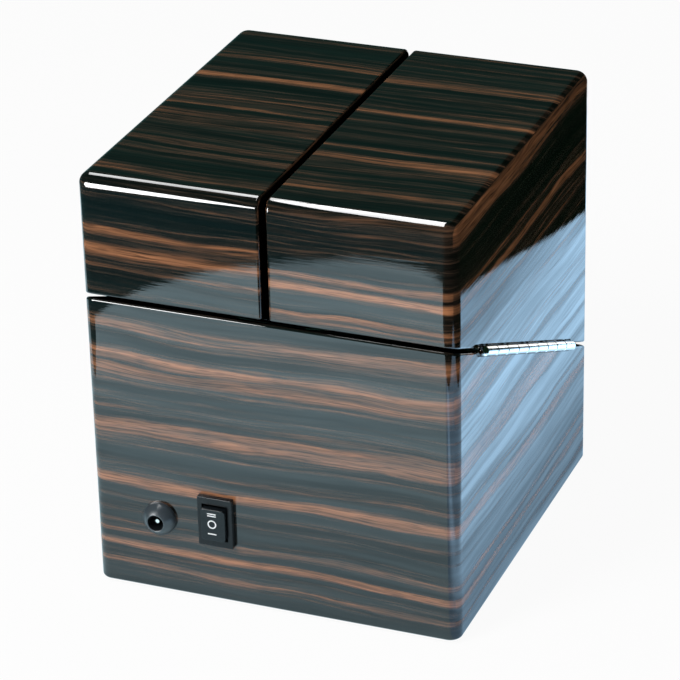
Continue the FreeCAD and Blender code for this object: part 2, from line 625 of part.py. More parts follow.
# Rotor shaft in its flanged bush, held by a spring clip
node("rotor_shaft", tilt(turned([
    ("0", f"{CLIP_TOP} - shaft_tail"), ("shaft_radius", f"{CLIP_TOP} - shaft_tail"),
    ("shaft_radius", f"{CLIP_TOP} - clip_thick"), ("shaft_radius - groove_depth", f"{CLIP_TOP} - clip_thick"),
    ("shaft_radius - groove_depth", CLIP_TOP), ("shaft_radius", CLIP_TOP),
    ("shaft_radius", f"{CUP_LOW} + shaft_seat"), ("0", f"{CUP_LOW} + shaft_seat")])))
clip_ring = tilt(turned([
    ("shaft_radius - groove_depth", CLIP_TOP), ("clip_radius", CLIP_TOP),
    ("clip_radius", f"{CLIP_TOP} - clip_thick"),
    ("shaft_radius - groove_depth", f"{CLIP_TOP} - clip_thick")]))
clip_mouth = tilt(block("clip_slot", f"clip_radius + {OVER}", f"clip_thick + {2 * OVER}"), "-clip_slot / 2",
                  "0", f"{CLIP_TOP} - clip_thick - {OVER}")
node("shaft_clip", cut(clip_ring, clip_mouth))
node("shaft_bush", tilt(turned([
    ("shaft_radius + shaft_fit", BUSH_LOW), ("bush_radius", BUSH_LOW), ("bush_radius", BRACKET_TOP),
    ("bush_flange_radius", BRACKET_TOP), ("bush_flange_radius", f"{BRACKET_TOP} + bush_flange"),
    ("shaft_radius + shaft_fit", f"{BRACKET_TOP} + bush_flange")])))

# Bracket plate hung from the deck on four posts
bracket = tilt(new_body())
plate = rectangle(sketch_on(bracket, "XY_Plane", BRACKET_LOW), f"({POST_X} + post_radius + bracket_margin)",
                  "(bracket_length / 2)")
extrude(bracket, "Pad", plate, "bracket_thick")
round_edges(bracket, "bracket_round", lambda edge, middle: upright(edge))
holes = circle(sketch_on(bracket, "XY_Plane", BRACKET_LOW), "bush_radius")
circle(holes, "nose_radius + fit_gap", f"-{MESH}")
for j in (-1, 1):
    circle(holes, "small_screw_radius", f"-{MESH}", f"{j} * motor_screw_ring")
    for i in (-1, 1):
        circle(holes, "small_screw_radius", f"{i} * {POST_X}", f"{j} * post_ring")
extrude(bracket, "Pocket", holes, flip=True)
node("bracket_plate", bracket)
posts = []
post_screws = []
for i, j in corners:
    spot = f"{i} * {POST_X}", f"{j} * post_ring"
    pillar = tilt(rod("post_radius", f"{DECK_LOW} - ({BRACKET_TOP})"), *spot, BRACKET_TOP)
    shank = tilt(rod("small_screw_radius", "small_screw_length"), *spot, BRACKET_LOW)
    posts.append(cut(pillar, shank))
    post_screws.append(join(shank, tilt(rod("small_screw_head", "small_screw_head_height"), *spot,
                                        f"{BRACKET_LOW} - small_screw_head_height")))
node("bracket_posts", group(*posts))
node("bracket_screws", group(*post_screws))

# Geared motor with its output shaft and pinion
gearbox_body = tilt(turned([
    ("0", GEARBOX_LOW), ("gearbox_radius", GEARBOX_LOW), ("gearbox_radius", BRACKET_LOW),
    ("nose_radius", BRACKET_LOW), ("nose_radius", f"{BRACKET_LOW} + nose_length"),
    ("out_shaft_radius + shaft_fit", f"{BRACKET_LOW} + nose_length"),
    ("out_shaft_radius + shaft_fit", f"{BRACKET_LOW} - out_shaft_depth - axial_gap"),
    ("0", f"{BRACKET_LOW} - out_shaft_depth - axial_gap")]), f"-{MESH}")
motor_screws = []
for j in (-1, 1):
    spot = f"-{MESH}", f"{j} * motor_screw_ring"
    shank = tilt(rod("small_screw_radius", "bracket_thick + small_screw_length / 2"), *spot,
                 f"{BRACKET_LOW} - small_screw_length / 2")
    head = tilt(rod("small_screw_head", "small_screw_head_height"), *spot, BRACKET_TOP)
    motor_screws.append(join(shank, head))
node("gearbox", cut(gearbox_body, *motor_screws))
node("motor_screws", group(*motor_screws))
can = tilt(turned([
    ("0", CAN_LOW), ("can_radius", CAN_LOW), ("can_radius", GEARBOX_LOW), ("0", GEARBOX_LOW)]), f"-{MESH}")
round_edges(can, "can_round", lambda edge, middle: near(middle.z, min(v.Z for v in can.Tip.Shape.Vertexes)))
node("motor_can", can)
cap = tilt(rod("cap_radius", "cap_thick"), f"-{MESH}", "0", f"{CAN_LOW} - cap_thick")
tags = [tilt(block("tag_thick", "tag_width", "tag_length"), f"-{MESH} + ({i}) * tag_spread - tag_thick / 2",
             "-tag_width / 2", TAG_LOW) for i in (-1, 1)]
node("motor_cap", join(cap, *tags))
out_shaft = rod("out_shaft_radius", f"{GEAR_TOP} + pinion_overlap - ({BRACKET_LOW}) + out_shaft_depth")
node("gearbox_shaft", tilt(out_shaft, f"-{MESH}", "0", f"{BRACKET_LOW} - out_shaft_depth"))
pinion_count = int(size("pinion_teeth"))
pinion_width = size("gear_face") + 2 * size("pinion_overlap")
pinion_disc = toothed_disc(pinion_count, module, pinion_width, math.pi / pinion_count)
tilt(pinion_disc, f"-{MESH}", "0", f"{GEAR_LOW} - pinion_overlap")
pinion_bore = tilt(rod("out_shaft_radius", f"gear_face + 2 * pinion_overlap + {2 * OVER}"), f"-{MESH}", "0",
                   f"{GEAR_LOW} - pinion_overlap - {OVER}")
node("drive_pinion", cut(pinion_disc, pinion_bore))

# Control board on its posts, with its last plug socket under the switch
PLUG_PITCH = "board_length / 4"
BOARD_X = f"({SWITCH_X} - {PLUG_PITCH})"
BOARD_Y = f"({INNER_Y} - board_gap - board_width / 2)"
BOARD_LOW = f"({FLOOR} + board_lift)"
BOARD_TOP = f"({BOARD_LOW} + board_thick)"
board = put(block("board_length", "board_width", "board_thick"), f"{BOARD_X} - board_length / 2",
            f"{BOARD_Y} - board_width / 2", BOARD_LOW)
board_posts = []
board_screws = []
for i, j in corners:
    spot = (f"{BOARD_X} + {i} * (board_length / 2 - board_inset)",
            f"{BOARD_Y} + {j} * (board_width / 2 - board_inset)")
    shank = put(rod("board_screw_radius", "board_lift - board_post_floor + board_thick"), *spot,
                f"{FLOOR} + board_post_floor")
    board_posts.append(cut(put(rod("board_post_radius", "board_lift"), *spot, FLOOR), shank))
    board_screws.append(join(shank, put(rod("board_screw_head", "board_screw_head / 2"), *spot, BOARD_TOP)))
node("control_board", cut(board, *board_screws))
node("board_posts", group(*board_posts))
node("board_screws", group(*board_screws))
node("board_chip", put(block("chip_length", "chip_width", "chip_height"), f"{BOARD_X} - chip_length / 2",
                       f"{BOARD_Y} - chip_width / 2", BOARD_TOP))
node("board_capacitor", put(rod("cell_radius", "cell_height"), f"{BOARD_X} - {PLUG_PITCH}",
                            f"{BOARD_Y} - cell_radius", BOARD_TOP))
PLUG_FRONT = f"({BOARD_Y} - board_width / 2 + board_inset / 2)"
plugs = []
for i in (-1, 0, 1):
    left = f"{BOARD_X} + {i} * {PLUG_PITCH} - plug_length / 2"
    shell = put(block("plug_length", "plug_width", "plug_height"), left, PLUG_FRONT, BOARD_TOP)
    hollow = put(block("plug_length - 2 * plug_wall", "plug_width - 2 * plug_wall", "plug_height"),
                 f"{left} + plug_wall", f"{PLUG_FRONT} + plug_wall", f"{BOARD_TOP} + plug_floor")
    plugs.append(cut(shell, hollow))
node("board_sockets", group(*plugs))

# Rocker switch: framed housing, rocker on two pivots and three blades
housing = put(new_body(), SWITCH_X, "box_depth / 2", SWITCH_Z)
extrude(housing, "Pad", rectangle(sketch_on(housing, "XZ_Plane"), "frame_width / 2", "frame_height / 2"),
        "frame_thick", flip=True)
frame_front = size("frame_thick")
round_edges(housing, "frame_round", lambda edge, middle: upright(edge))
round_edges(housing, "frame_round", lambda edge, middle: near(middle.y, frame_front))
extrude(housing, "Pad", rectangle(sketch_on(housing, "XZ_Plane"), "body_width / 2", "body_height / 2"),
        "body_depth")
extrude(housing, "Pocket", rectangle(sketch_on(housing, "XZ_Plane", "-frame_thick"), "slot_width / 2",
                                     "slot_height / 2"), "slot_depth", flip=True)
pivot_hole = circle(sketch_on(housing, "YZ_Plane"), "pivot_radius + pivot_fit", "frame_thick - pivot_depth")
extrude(housing, "Pocket", pivot_hole, "slot_width + 2 * pivot_length", both_ways=True)
node("switch_housing", housing)
rocker = put(new_body(), SWITCH_X, PIVOT_Y, SWITCH_Z)
ROCKER_HALF = "(slot_width / 2 - rocker_gap)"
ROCKER_TOP = "(pivot_depth + rocker_proud)"
HOLLOW_RADIUS = "((rocker_half ^ 2 + rocker_dip ^ 2) / (2 * rocker_dip))"
rocker_side = outline(sketch_on(rocker, "YZ_Plane"), [
    (ROCKER_TOP, "-rocker_half"), (ROCKER_TOP, "rocker_half"), ("pivot_depth", "rocker_foot"),
    ("-pivot_depth", "rocker_foot / 2"), ("-pivot_depth", "-rocker_foot / 2"),
    ("pivot_depth", "-rocker_foot")])
extrude(rocker, "Pad", rocker_side, f"2 * {ROCKER_HALF}", both_ways=True)
rocker_side_x = number(ROCKER_HALF)
rocker_ridge = number("pivot_depth + rocker_proud / 2")
round_edges(rocker, "rocker_round",
            lambda edge, middle: near(abs(middle.x), rocker_side_x) and near(middle.y, rocker_ridge))
finger_hollow = circle(sketch_on(rocker, "YZ_Plane"), HOLLOW_RADIUS,
                       f"{ROCKER_TOP} - rocker_dip + {HOLLOW_RADIUS}")
extrude(rocker, "Pocket", finger_hollow, "slot_width", both_ways=True)
hollow_low = number(f"{ROCKER_TOP} - rocker_dip")
round_edges(rocker, "rocker_edge", lambda edge, middle: middle.y > hollow_low or near(middle.y, hollow_low))
extrude(rocker, "Pad", circle(sketch_on(rocker, "YZ_Plane"), "pivot_radius"),
        f"2 * ({ROCKER_HALF} + pivot_length)", both_ways=True)
node("switch_rocker", rocker)
BLADE_END = "(box_depth / 2 - body_depth - blade_length)"
blades = [put(block("blade_width", "blade_length", "blade_thick"), f"{SWITCH_X} - blade_width / 2", BLADE_END,
              f"{SWITCH_Z} + ({i}) * blade_pitch - blade_thick / 2") for i in (-1, 0, 1)]
node("switch_terminals", group(*blades))

# Power socket: domed flange, threaded barrel, centre contact and nut
DOME_DEPTH = ("((flange_radius ^ 2 + flange_edge ^ 2 - mouth_radius ^ 2 - flange_height ^ 2)"
              " / (2 * (flange_height - flange_edge)))")
dome = put(ball(f"sqrt(flange_radius ^ 2 + (flange_edge + {DOME_DEPTH}) ^ 2)"), SOCKET_X,
           f"box_depth / 2 - {DOME_DEPTH}", SOCKET_Z)
flange = common(put(rod("flange_radius", "flange_height"), SOCKET_X, "box_depth / 2", SOCKET_Z, "-90"), dome)
thread = put(rod("thread_radius", "thread_length"), SOCKET_X, "box_depth / 2", SOCKET_Z, "90")
mouth = put(rod("mouth_radius", f"barrel_bore + {OVER}"), SOCKET_X, f"box_depth / 2 + flange_height + {OVER}",
            SOCKET_Z, "90")
LUG_END = "(box_depth / 2 - thread_length - lug_length)"
lugs = [put(block("lug_width", "lug_length", "lug_thick"), f"{SOCKET_X} - lug_width / 2", LUG_END,
            f"{SOCKET_Z} + ({i}) * thread_radius / 2 - lug_thick / 2") for i in (-1, 1)]
flange_rims = number("box_depth / 2 + flange_edge"), number("box_depth / 2 + flange_height")
socket = soften(cut(join(flange, thread), mouth), "flange_round",
                lambda middle: near(middle.y, flange_rims[0]) or near(middle.y, flange_rims[1]))
node("power_socket", join(socket, *lugs))
node("socket_contact", put(rod("contact_radius", "contact_length"), SOCKET_X,
                           "box_depth / 2 + flange_height - barrel_bore", SOCKET_Z, "-90"))
nut = put(new_body(), SOCKET_X, "box_depth / 2 - wall", SOCKET_Z, "90")
NUT_CORNER = "nut_across / sqrt(3)"
hexagon = [(f"{NUT_CORNER} * cos({60 * i})", f"{NUT_CORNER} * sin({60 * i})") for i in range(6)]
nut_sketch = outline(sketch_on(nut, "XY_Plane"), hexagon)
circle(nut_sketch, "thread_radius")
extrude(nut, "Pad", nut_sketch, "nut_thick")
node("socket_nut", nut)


# Wires between the pieces and the board's plug sockets
def lead(*corners):
    """Round wire along a path of straight runs, bent to an arc at each corner."""
    radius, bend = size("lead_radius"), size("lead_bend")
    spots = [V(*(number(formula) for formula in corner)) for corner in corners]
    edges = []
    last = spots[0]
    for before, corner, after in zip(spots, spots[1:], spots[2:]):
        back = (before - corner).normalize()
        ahead = (after - corner).normalize()
        half = back.getAngle(ahead) / 2
        start = corner + back * (bend / math.tan(half))
        finish = corner + ahead * (bend / math.tan(half))
        middle = corner + (back + ahead).normalize() * (bend / math.sin(half) - bend)
        edges += [Part.makeLine(last, start), Part.Arc(start, middle, finish).toShape()]
        last = finish
    edges.append(Part.makeLine(last, spots[-1]))
    ring = Part.Wire(Part.makeCircle(radius, spots[0], spots[1] - spots[0]))
    wire = doc.addObject("Part::Feature", "Lead")
    wire.Shape = Part.Wire(edges).makePipeShell([ring], True, False)
    return wire


def slope_point(x, u, n):
    """Point of the sloping frame in the box's own frame."""
    return (x, f"({u}) * cos(split_angle) - ({n}) * sin(split_angle)",
            f"pad_thick + split_height + ({u}) * sin(split_angle) + ({n}) * cos(split_angle)")


PLUG_Y = f"({PLUG_FRONT} + plug_width / 2)"
PLUG_BED = f"({BOARD_TOP} + plug_floor)"
ARCH = f"({BOARD_TOP} + plug_height + lead_arch)"
switch_leads = []
for i in (-1, 0, 1):
    x = f"{SWITCH_X} + ({i}) * lead_pitch"
    z = f"{SWITCH_Z} + ({i}) * blade_pitch"
    switch_leads.append(lead((x, BLADE_END, z), (x, PLUG_Y, z), (x, PLUG_Y, PLUG_BED)))
node("switch_leads", group(*switch_leads))
socket_leads = []
for i in (-1, 1):
    x = f"{BOARD_X} - ({i}) * lead_pitch"
    z = f"{SOCKET_Z} + ({i}) * thread_radius / 2"
    socket_leads.append(lead((SOCKET_X, LUG_END, z), (SOCKET_X, f"{PLUG_Y} - lead_bow", z), (x, PLUG_Y, z),
                             (x, PLUG_Y, PLUG_BED)))
node("socket_leads", group(*socket_leads))
TAG_MIDDLE = f"{TAG_LOW} + tag_length / 2"
near_tag, far_tag = f"-{MESH} + tag_spread", f"-{MESH} - tag_spread"
near_x, far_x = f"{BOARD_X} - {PLUG_PITCH} - lead_pitch", f"{BOARD_X} - {PLUG_PITCH} + lead_pitch"
FAR_RUN = "tag_width / 2 + lead_reach"
near_lead = lead(slope_point(near_tag, "tag_width / 2", TAG_MIDDLE),
                 slope_point(near_tag, "tag_width / 2 + lead_bow", TAG_MIDDLE),
                 (near_x, PLUG_Y, ARCH), (near_x, PLUG_Y, PLUG_BED))
far_lead = lead(slope_point(far_tag, "tag_width / 2", TAG_MIDDLE), slope_point(far_tag, FAR_RUN, TAG_MIDDLE),
                slope_point(f"{BOARD_X} - board_length / 2 - lead_side", FAR_RUN, TAG_MIDDLE),
                (far_x, PLUG_Y, f"{ARCH} + lead_step"), (far_x, PLUG_Y, PLUG_BED))
node("motor_leads", group(near_lead, far_lead))

# Wings: half lids that open sideways, and their linings
WING_FROM = "-wing_gap / 2"
wing = put(new_body(), z="pad_thick")
side = outline(sketch_on(wing, "YZ_Plane", WING_FROM), [
    ("-box_depth / 2", split_at("-box_depth / 2", "+")), ("box_depth / 2", split_at("box_depth / 2", "+")),
    ("box_depth / 2", "box_height"), ("-box_depth / 2", "box_height")])
extrude(wing, "Pad", side, "box_width / 2 - wing_gap / 2", flip=True)
round_edges(wing, "upright_round", lambda edge, middle: upright(edge) and near(middle.x, -half_width))
groove_x = -size("wing_gap") / 2
lid_top = size("box_height")
round_edges(wing, "top_round", lambda edge, middle: near(middle.z, lid_top) and not near(middle.x, groove_x))
hollow = rectangle(sketch_on(wing, "YZ_Plane", WING_FROM), INNER_Y, "(box_height - wall)")
extrude(wing, "Pocket", hollow, "box_width / 2 - wall - wing_gap / 2")


def groove_edge(edge, middle):
    outer = abs(middle.y) > half_depth - size("wall") / 4 or middle.z > lid_top - size("wall") / 4
    return near(middle.x, groove_x) and outer


round_edges(wing, "groove_round", groove_edge)


def wing_rim_edge(edge, middle):
    height = size("split_height") + middle.y * slope + gap_rise
    outer = middle.x < -inner_x - 0.01 or abs(middle.y) > inner_y + 0.01
    ends = near(edge.Vertexes[0].X, edge.Vertexes[-1].X) and near(middle.x, groove_x)
    return near(middle.z, height) and outer and on_outside(middle) and not ends


round_edges(wing, "rim_round", wing_rim_edge)
left_shell = cut(wing, wing_seat)
LINING_X = f"({INNER_X} - wing_gap / 2)"
lining = put(new_body(), z="pad_thick")
lining_side = outline(sketch_on(lining, "YZ_Plane", WING_FROM), [
    (f"-{INNER_Y}", f"{split_at(f'-{INNER_Y}', '+')} + lining_setback"),
    (INNER_Y, f"{split_at(INNER_Y, '+')} + lining_setback"),
    (INNER_Y, "box_height - wall"), (f"-{INNER_Y}", "box_height - wall")])
extrude(lining, "Pad", lining_side, LINING_X, flip=True)
lining_hollow = rectangle(sketch_on(lining, "YZ_Plane", WING_FROM), f"({INNER_Y} - lining_thick)",
                          "(box_height - wall - lining_thick)")
extrude(lining, "Pocket", lining_hollow, f"{LINING_X} - lining_thick")

node("left_wing_shell", left_shell)
node("left_wing_lining", lining)
node("left_wing_leaf", wing_leaf)
node("left_wing_screws", wing_screws)
node("left_base_leaf", base_leaf)
node("left_hinge_pin", hinge_pin)
node("right_wing_shell", mirrored(left_shell))
node("right_wing_lining", mirrored(lining))
node("right_wing_leaf", mirrored(wing_leaf))
node("right_wing_screws", mirrored(wing_screws))
node("right_base_leaf", mirrored(base_leaf))
node("right_hinge_pin", mirrored(hinge_pin))
left_base_screws = group(*base_screws)
node("base_leaf_screws", group(left_base_screws, mirrored(left_base_screws)))

# Check every object, then write one file for each piece
doc.recompute()
for thing in doc.Objects:
    if "Invalid" in thing.State or "Error" in thing.State:
        raise RuntimeError(f"{thing.Label} did not build: {thing.State}")
for thing in NODES:
    if thing.Shape.isNull() or not thing.Shape.isValid() or not thing.Shape.Solids:
        raise RuntimeError(f"{thing.Label} has no valid solid")
os.makedirs("parts", exist_ok=True)
for thing in NODES:
    thing.Shape.exportStep(f"parts/{thing.Label}.step")
print(len(NODES), "pieces written")
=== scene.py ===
"""Looks of a watch winder box: lacquered striped ebony, two side-hinged lid wings, switch and power socket."""

import json
import math

import bmesh
import bpy
from mathutils import Matrix, Vector


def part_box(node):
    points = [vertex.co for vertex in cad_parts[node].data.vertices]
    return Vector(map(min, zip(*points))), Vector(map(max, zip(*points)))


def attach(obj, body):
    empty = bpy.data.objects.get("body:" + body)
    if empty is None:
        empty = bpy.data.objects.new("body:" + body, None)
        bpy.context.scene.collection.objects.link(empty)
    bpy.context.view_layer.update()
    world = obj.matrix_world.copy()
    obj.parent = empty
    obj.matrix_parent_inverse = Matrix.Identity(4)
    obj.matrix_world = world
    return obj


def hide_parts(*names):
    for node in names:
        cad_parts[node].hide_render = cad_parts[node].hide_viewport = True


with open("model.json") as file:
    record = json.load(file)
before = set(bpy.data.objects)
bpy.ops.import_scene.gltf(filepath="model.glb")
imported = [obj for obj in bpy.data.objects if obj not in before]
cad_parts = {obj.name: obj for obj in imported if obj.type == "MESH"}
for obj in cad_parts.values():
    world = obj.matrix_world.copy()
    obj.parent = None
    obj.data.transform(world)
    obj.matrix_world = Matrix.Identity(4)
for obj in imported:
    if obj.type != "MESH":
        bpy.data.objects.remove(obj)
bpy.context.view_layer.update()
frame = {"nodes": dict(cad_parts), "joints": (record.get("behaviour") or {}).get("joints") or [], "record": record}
nodes = frame["nodes"]
joints = {joint["name"]: joint for joint in frame["joints"]}
scene = bpy.context.scene
scene.view_settings.view_transform = "Standard"
MM = 0.001

# Camera fitted to the photograph, in degrees, metres and lens millimetres
CAMERA_AZIMUTH = 201.975
CAMERA_ELEVATION = 26.526
CAMERA_ROLL = -1.4093
CAMERA_DISTANCE = 1.3084
CAMERA_SLIDE = (-0.00222, -0.0071)
CAMERA_TARGET = Vector((0, 0, 0.088))
CAMERA_LENS = 175.41
CAMERA_SENSOR = 36
CAMERA_CLIP = 0.01

# Studio, in metres: a white sheet on the floor with a dark room around it, which only gloss sees
# The sheet's edge: millimetres to the camera's right and towards it
SHEET_EDGE = (
    (-272, 150), (-273, 195), (-279, 222), (-279, 240), (-275, 256), (-270, 271), (-263, 285),
    (-253, 299), (-240, 314), (-226, 329), (-208, 339), (-192, 341), (-175, 335), (-155, 324),
    (-110, 316), (0, 312), (150, 312), (222, 300), (246, 266), (252, 200), (250, 0),
    (243, -100), (242, -128), (247, -150), (250, -175), (252, -205), (258, -240), (262, -300),
    (272, -350), (640, -830), (640, -1100), (420, -1260), (230, -1100), (110, -640), (60, -430),
    (-300, -420), (-350, -380), (-360, -200), (-330, -60), (-287, 20), (-270, 90),
)
WHITE = (1, 1, 1, 1)
BACK_TINT = (0.64, 0.90, 1.0, 1)
SIDE_TINT = (0.46, 0.73, 1.0, 1)
# The sheet's light behind the box grows with depth, and beside it first grows, then falls with distance: the
# dimmer light near the box is a painted shadow of the box, and the bright band beside it a painted pool of light
BEHIND_LEVEL = 1.35
BEHIND_GAIN = 0.85
BEHIND_RISE = (0.09, 0.30)
BESIDE_LEVEL = 1.35
BESIDE_GAIN = 1.95
BESIDE_RISE = (0.082, 0.128)
BESIDE_LOSS = -1.5
BESIDE_FALL = (0.138, 0.165)
# Its tint turns at the box's side: at once behind the box, gradually in front; far in front it is white
TURN_AT = 0.077
TURN_DEPTH = (-0.06, 0.08)
TURN_FRONT = 0.3
TURN_BEHIND = 0.003
FAR_FRONT = (-0.42, -0.5)
# The room's dome: its rings in degrees above the floor, its colour low and high, and darker past one side
ROOM_RADIUS = 2.6
ROOM_LIFTS = (0, 6, 14, 24, 36, 50, 66, 82)
ROOM_LOW = (0.06, 0.17, 0.18, 1)
ROOM_HIGH = (0.024, 0.075, 0.062, 1)
ROOM_CLIMB = (0.0, 0.5)
ROOM_SIDE = (0.004, 0.012, 0.006, 1)
ROOM_TURN = (-0.12, 0.1)
# A white floor just under the box, and the even light of the world
FLOOR_SIZE = 8
FLOOR_DROP = 0.0004
FLOOR_PALE = (0.9, 0.9, 0.9, 1)
FLOOR_GLOW = 0.95
AMBIENT = 0.16
# Lamps: name, place, target, width, depth, watts, shape and the rays that don't see it
LAMPS = (
    ("window_fill", (0.4, 0.85, 1.05), (0, 0, 0.1), 0.4, 0.45, 13, "RECTANGLE", "glossy"),
    ("front_softbox", (0.372, 0.53, 0.168), (0.372, 0, 0.168), 0.4, 0.31, 7.5, "ELLIPSE", "diffuse"),
    ("overhead_softbox", (0.284, -0.138, 1.115), (0.284, 0.08, 0.17), 0.17, 0.95, 8, "RECTANGLE", "diffuse"),
    ("rear_softbox", (0.475, -0.398, 1.014), (0.475, 0.08, 0.17), 0.25, 0.55, 4, "RECTANGLE", "diffuse"),
)

# Sloping frame of the split: u runs up the slope to the back, n along its normal
SLOPE_ORIGIN = Vector(joints["rotor_spin"]["pos_m"])
SLOPE_NORMAL = Vector(joints["rotor_spin"]["axis"])
SLOPE_UP = SLOPE_NORMAL.cross(Vector((1, 0, 0)))


# Node trees
class Tree:
    """Short calls for building one node tree."""

    def __init__(self, tree):
        self.tree = tree

    def add(self, kind, settings=None, **inputs):
        made = self.tree.nodes.new("ShaderNode" + kind)
        for name, value in (settings or {}).items():
            setattr(made, name, value)
        for name, value in inputs.items():
            self.feed(made.inputs[name.replace("_", " ")], value)
        return made

    def feed(self, socket, value):
        if isinstance(value, bpy.types.NodeSocket):
            self.tree.links.new(value, socket)
        else:
            socket.default_value = value

    def math(self, operation, *values):
        made = self.add("Math", {"operation": operation})
        for socket, value in zip(made.inputs, values):
            self.feed(socket, value)
        return made.outputs[0]

    def smooth(self, value, low, high):
        """0 below low, 1 above high, with a smooth rise between."""
        made = self.add("MapRange", {"interpolation_type": "SMOOTHSTEP"})
        self.feed(made.inputs["Value"], value)
        made.inputs["From Min"].default_value = low
        made.inputs["From Max"].default_value = high
        return made.outputs["Result"]

    def spread(self, value, low, high):
        """A 0 to 1 value stretched over low to high."""
        made = self.add("MapRange")
        self.feed(made.inputs["Value"], value)
        made.inputs["To Min"].default_value = low
        made.inputs["To Max"].default_value = high
        return made.outputs["Result"]

    def blend(self, share, a, b):
        """Number a where share is 0, b where it is 1."""
        made = self.add("Mix", {"data_type": "FLOAT"})
        for socket, value in zip((made.inputs[0], made.inputs[2], made.inputs[3]), (share, a, b)):
            self.feed(socket, value)
        return made.outputs[0]

    def tint(self, share, a, b, mode="MIX"):
        """Colour a where share is 0, b (or a with b laid on it) where it is 1."""
        made = self.add("Mix", {"data_type": "RGBA", "blend_type": mode})
        for socket, value in zip((made.inputs[0], made.inputs[6], made.inputs[7]), (share, a, b)):
            self.feed(socket, value)
        return made.outputs[2]

    def weighed(self, a, share_a, b, share_b):
        """Sum of two values, each times its share."""
        return self.math("ADD", self.math("MULTIPLY", a, share_a), self.math("MULTIPLY", b, share_b))

    def split(self, vector):
        made = self.add("SeparateXYZ")
        self.feed(made.inputs[0], vector)
        return made.outputs

    def vector(self, x, y, z):
        made = self.add("CombineXYZ")
        for socket, value in zip(made.inputs, (x, y, z)):
            self.feed(socket, value)
        return made.outputs[0]

    def stretched(self, vector, scale):
        made = self.add("VectorMath", {"operation": "MULTIPLY"})
        self.feed(made.inputs[0], vector)
        made.inputs[1].default_value = scale
        return made.outputs[0]

    def noise(self, vector, scale=1.0, detail=2.0, roughness=0.5):
        made = self.add("TexNoise", Vector=vector, Scale=scale, Detail=detail, Roughness=roughness)
        return made.outputs["Fac"]

    def cells(self, vector, scale, feature="F1"):
        made = self.add("TexVoronoi", {"feature": feature}, Vector=vector, Scale=scale)
        return made.outputs["Distance"]

    def ramp(self, value, *stops):
        made = self.add("ValToRGB", Fac=value)
        points = made.color_ramp.elements
        while len(points) < len(stops):
            points.new(1)
        for point, (place, colour) in zip(points, stops):
            point.position = place
            point.color = (*colour, 1)
        return made.outputs["Color"]

    def bump(self, height, strength, distance):
        made = self.add("Bump", Strength=strength, Distance=distance, Height=height)
        return made.outputs["Normal"]


class Finish(Tree):
    """A material around one Principled surface."""

    def __init__(self, name):
        self.material = bpy.data.materials.new(name)
        self.material.use_nodes = True
        super().__init__(self.material.node_tree)
        self.surface = self.tree.nodes["Principled BSDF"]
        self.coordinates = self.add("TexCoord")

    @property
    def place(self):
        return self.coordinates.outputs["Object"]

    @property
    def facing(self):
        return self.coordinates.outputs["Normal"]

    def set(self, **inputs):
        for name, value in inputs.items():
            self.feed(self.surface.inputs[name.replace("_", " ")], value)
        return self.material


# Lacquered ebony: the veneer climbs every wall and runs on over the top; its grain lies level
EBONY = (
    (0.38, (0.0018, 0.0026, 0.0024)),
    (0.48, (0.0072, 0.0068, 0.0057)),
    (0.54, (0.027, 0.0190, 0.0140)),
    (0.60, (0.085, 0.046, 0.028)),
    (0.66, (0.21, 0.092, 0.044)),
    (0.78, (0.50, 0.21, 0.095)),
)
# Broad stripes of each veneer sheet: millimetres up the back and on over the top, half width, strength;
# a stripe of negative strength is dark
BASE_STRIPES = ((9.5, 3.2, 1.0), (18.5, 3.0, 1.5), (25, 2.6, 0.9), (47.7, 4.4, 1.55), (55, 2.4, 1.0),
                (72.5, 6.4, 1.5), (86.5, 2.0, 0.8), (95, 4.6, 1.25), (102.5, 3.8, 1.55), (115, 6.4, 1.05))
RIGHT_STRIPES = ((138, 2.2, 0.9), (144.5, 3.6, 1.9), (152.4, 4.6, 1.1), (162, 4.8, -0.9), (186, 6.5, 0.9),
                 (216, 3.2, 0.9), (242, 5.0, 1.0), (262.5, 2.8, 0.8), (282, 5.4, 1.1), (303, 6.0, 0.75))
LEFT_STRIPES = ((131, 1.8, 1.25), (141.3, 3.8, 1.85), (146.8, 2.4, 1.4), (158, 3.0, 0.3), (192.5, 3.6, 0.9),
                (203, 3.0, 0.8), (221.5, 4.0, 1.1), (231, 3.0, 0.8), (267, 3.0, 0.9), (297.5, 4.6, 1.1))
VENEER_END = 340
BOX_MIDDLE = (0, 0, 0.088)
BACK_FACE = 0.08
# Flat black for the lacquer's rims and gap faces, and as painted shade inside the socket's mouth
BLACK_EDGES_AND_BORE_SHADE = (0.0015, 0.0015, 0.0015, 1)
PORE_GREY = (0.45, 0.45, 0.45, 1)
PORE_RANGE = (0.5, 0.68)
# A face counts as a side or top between these shares of its normal
FACE_TURN = (0.66, 0.74)
# A side's grain carries on past the back's, and each wing's sheet is another slice of the noise
SIDE_SHIFT = 0.155
RIGHT_SHEET = 5.3
LEFT_STEP = 4.7
# Wander of the grain: noise scale, and how far it moves a stripe
DRIFT = (5.5, 14, 1)
DRIFT_REACH = 0.0075
RIPPLE = (24, 120, 1)
RIPPLE_REACH = 0.0016
# Noise scales along the grain, across it and between sheets, and the share of each in the figure
BANDS = (1.8, 95, 1)
LINES = (3.2, 270, 1)
HAIRS = (22, 950, 1)
PORES = (90, 2400, 1)
HAZE = (5, 150, 1)
BAND_SHARE = 0.48
LINE_SHARE = 0.52
HAIR_SHARE = 0.38
STRIPE_SHARE = 0.155
FIGURE_OFFSET = -0.196
# Stripes on the sides: their strength on base and wing, and a light one along the wing's top edge
BASE_SIDE_STRIPES = 1.25
WING_SIDE_STRIPES = 0.6
TOP_EDGE = (0.1635, 0.1695)
TOP_EDGE_STRIPE = 0.62
# Lacquer: only on faces that look outward, thinner where hazy and over the sides' light stripes
OUTWARD = (0.012, 0.03)
HAZE_RANGE = (0.34, 0.66)
HAZE_COAT = 0.68
SUNKEN_RANGE = (0.47, 0.62)
SUNKEN_COAT = 0.72
# The grain telegraphs faintly through the lacquer: bump strength and depth
TELEGRAPH = (0.012, 0.0003)


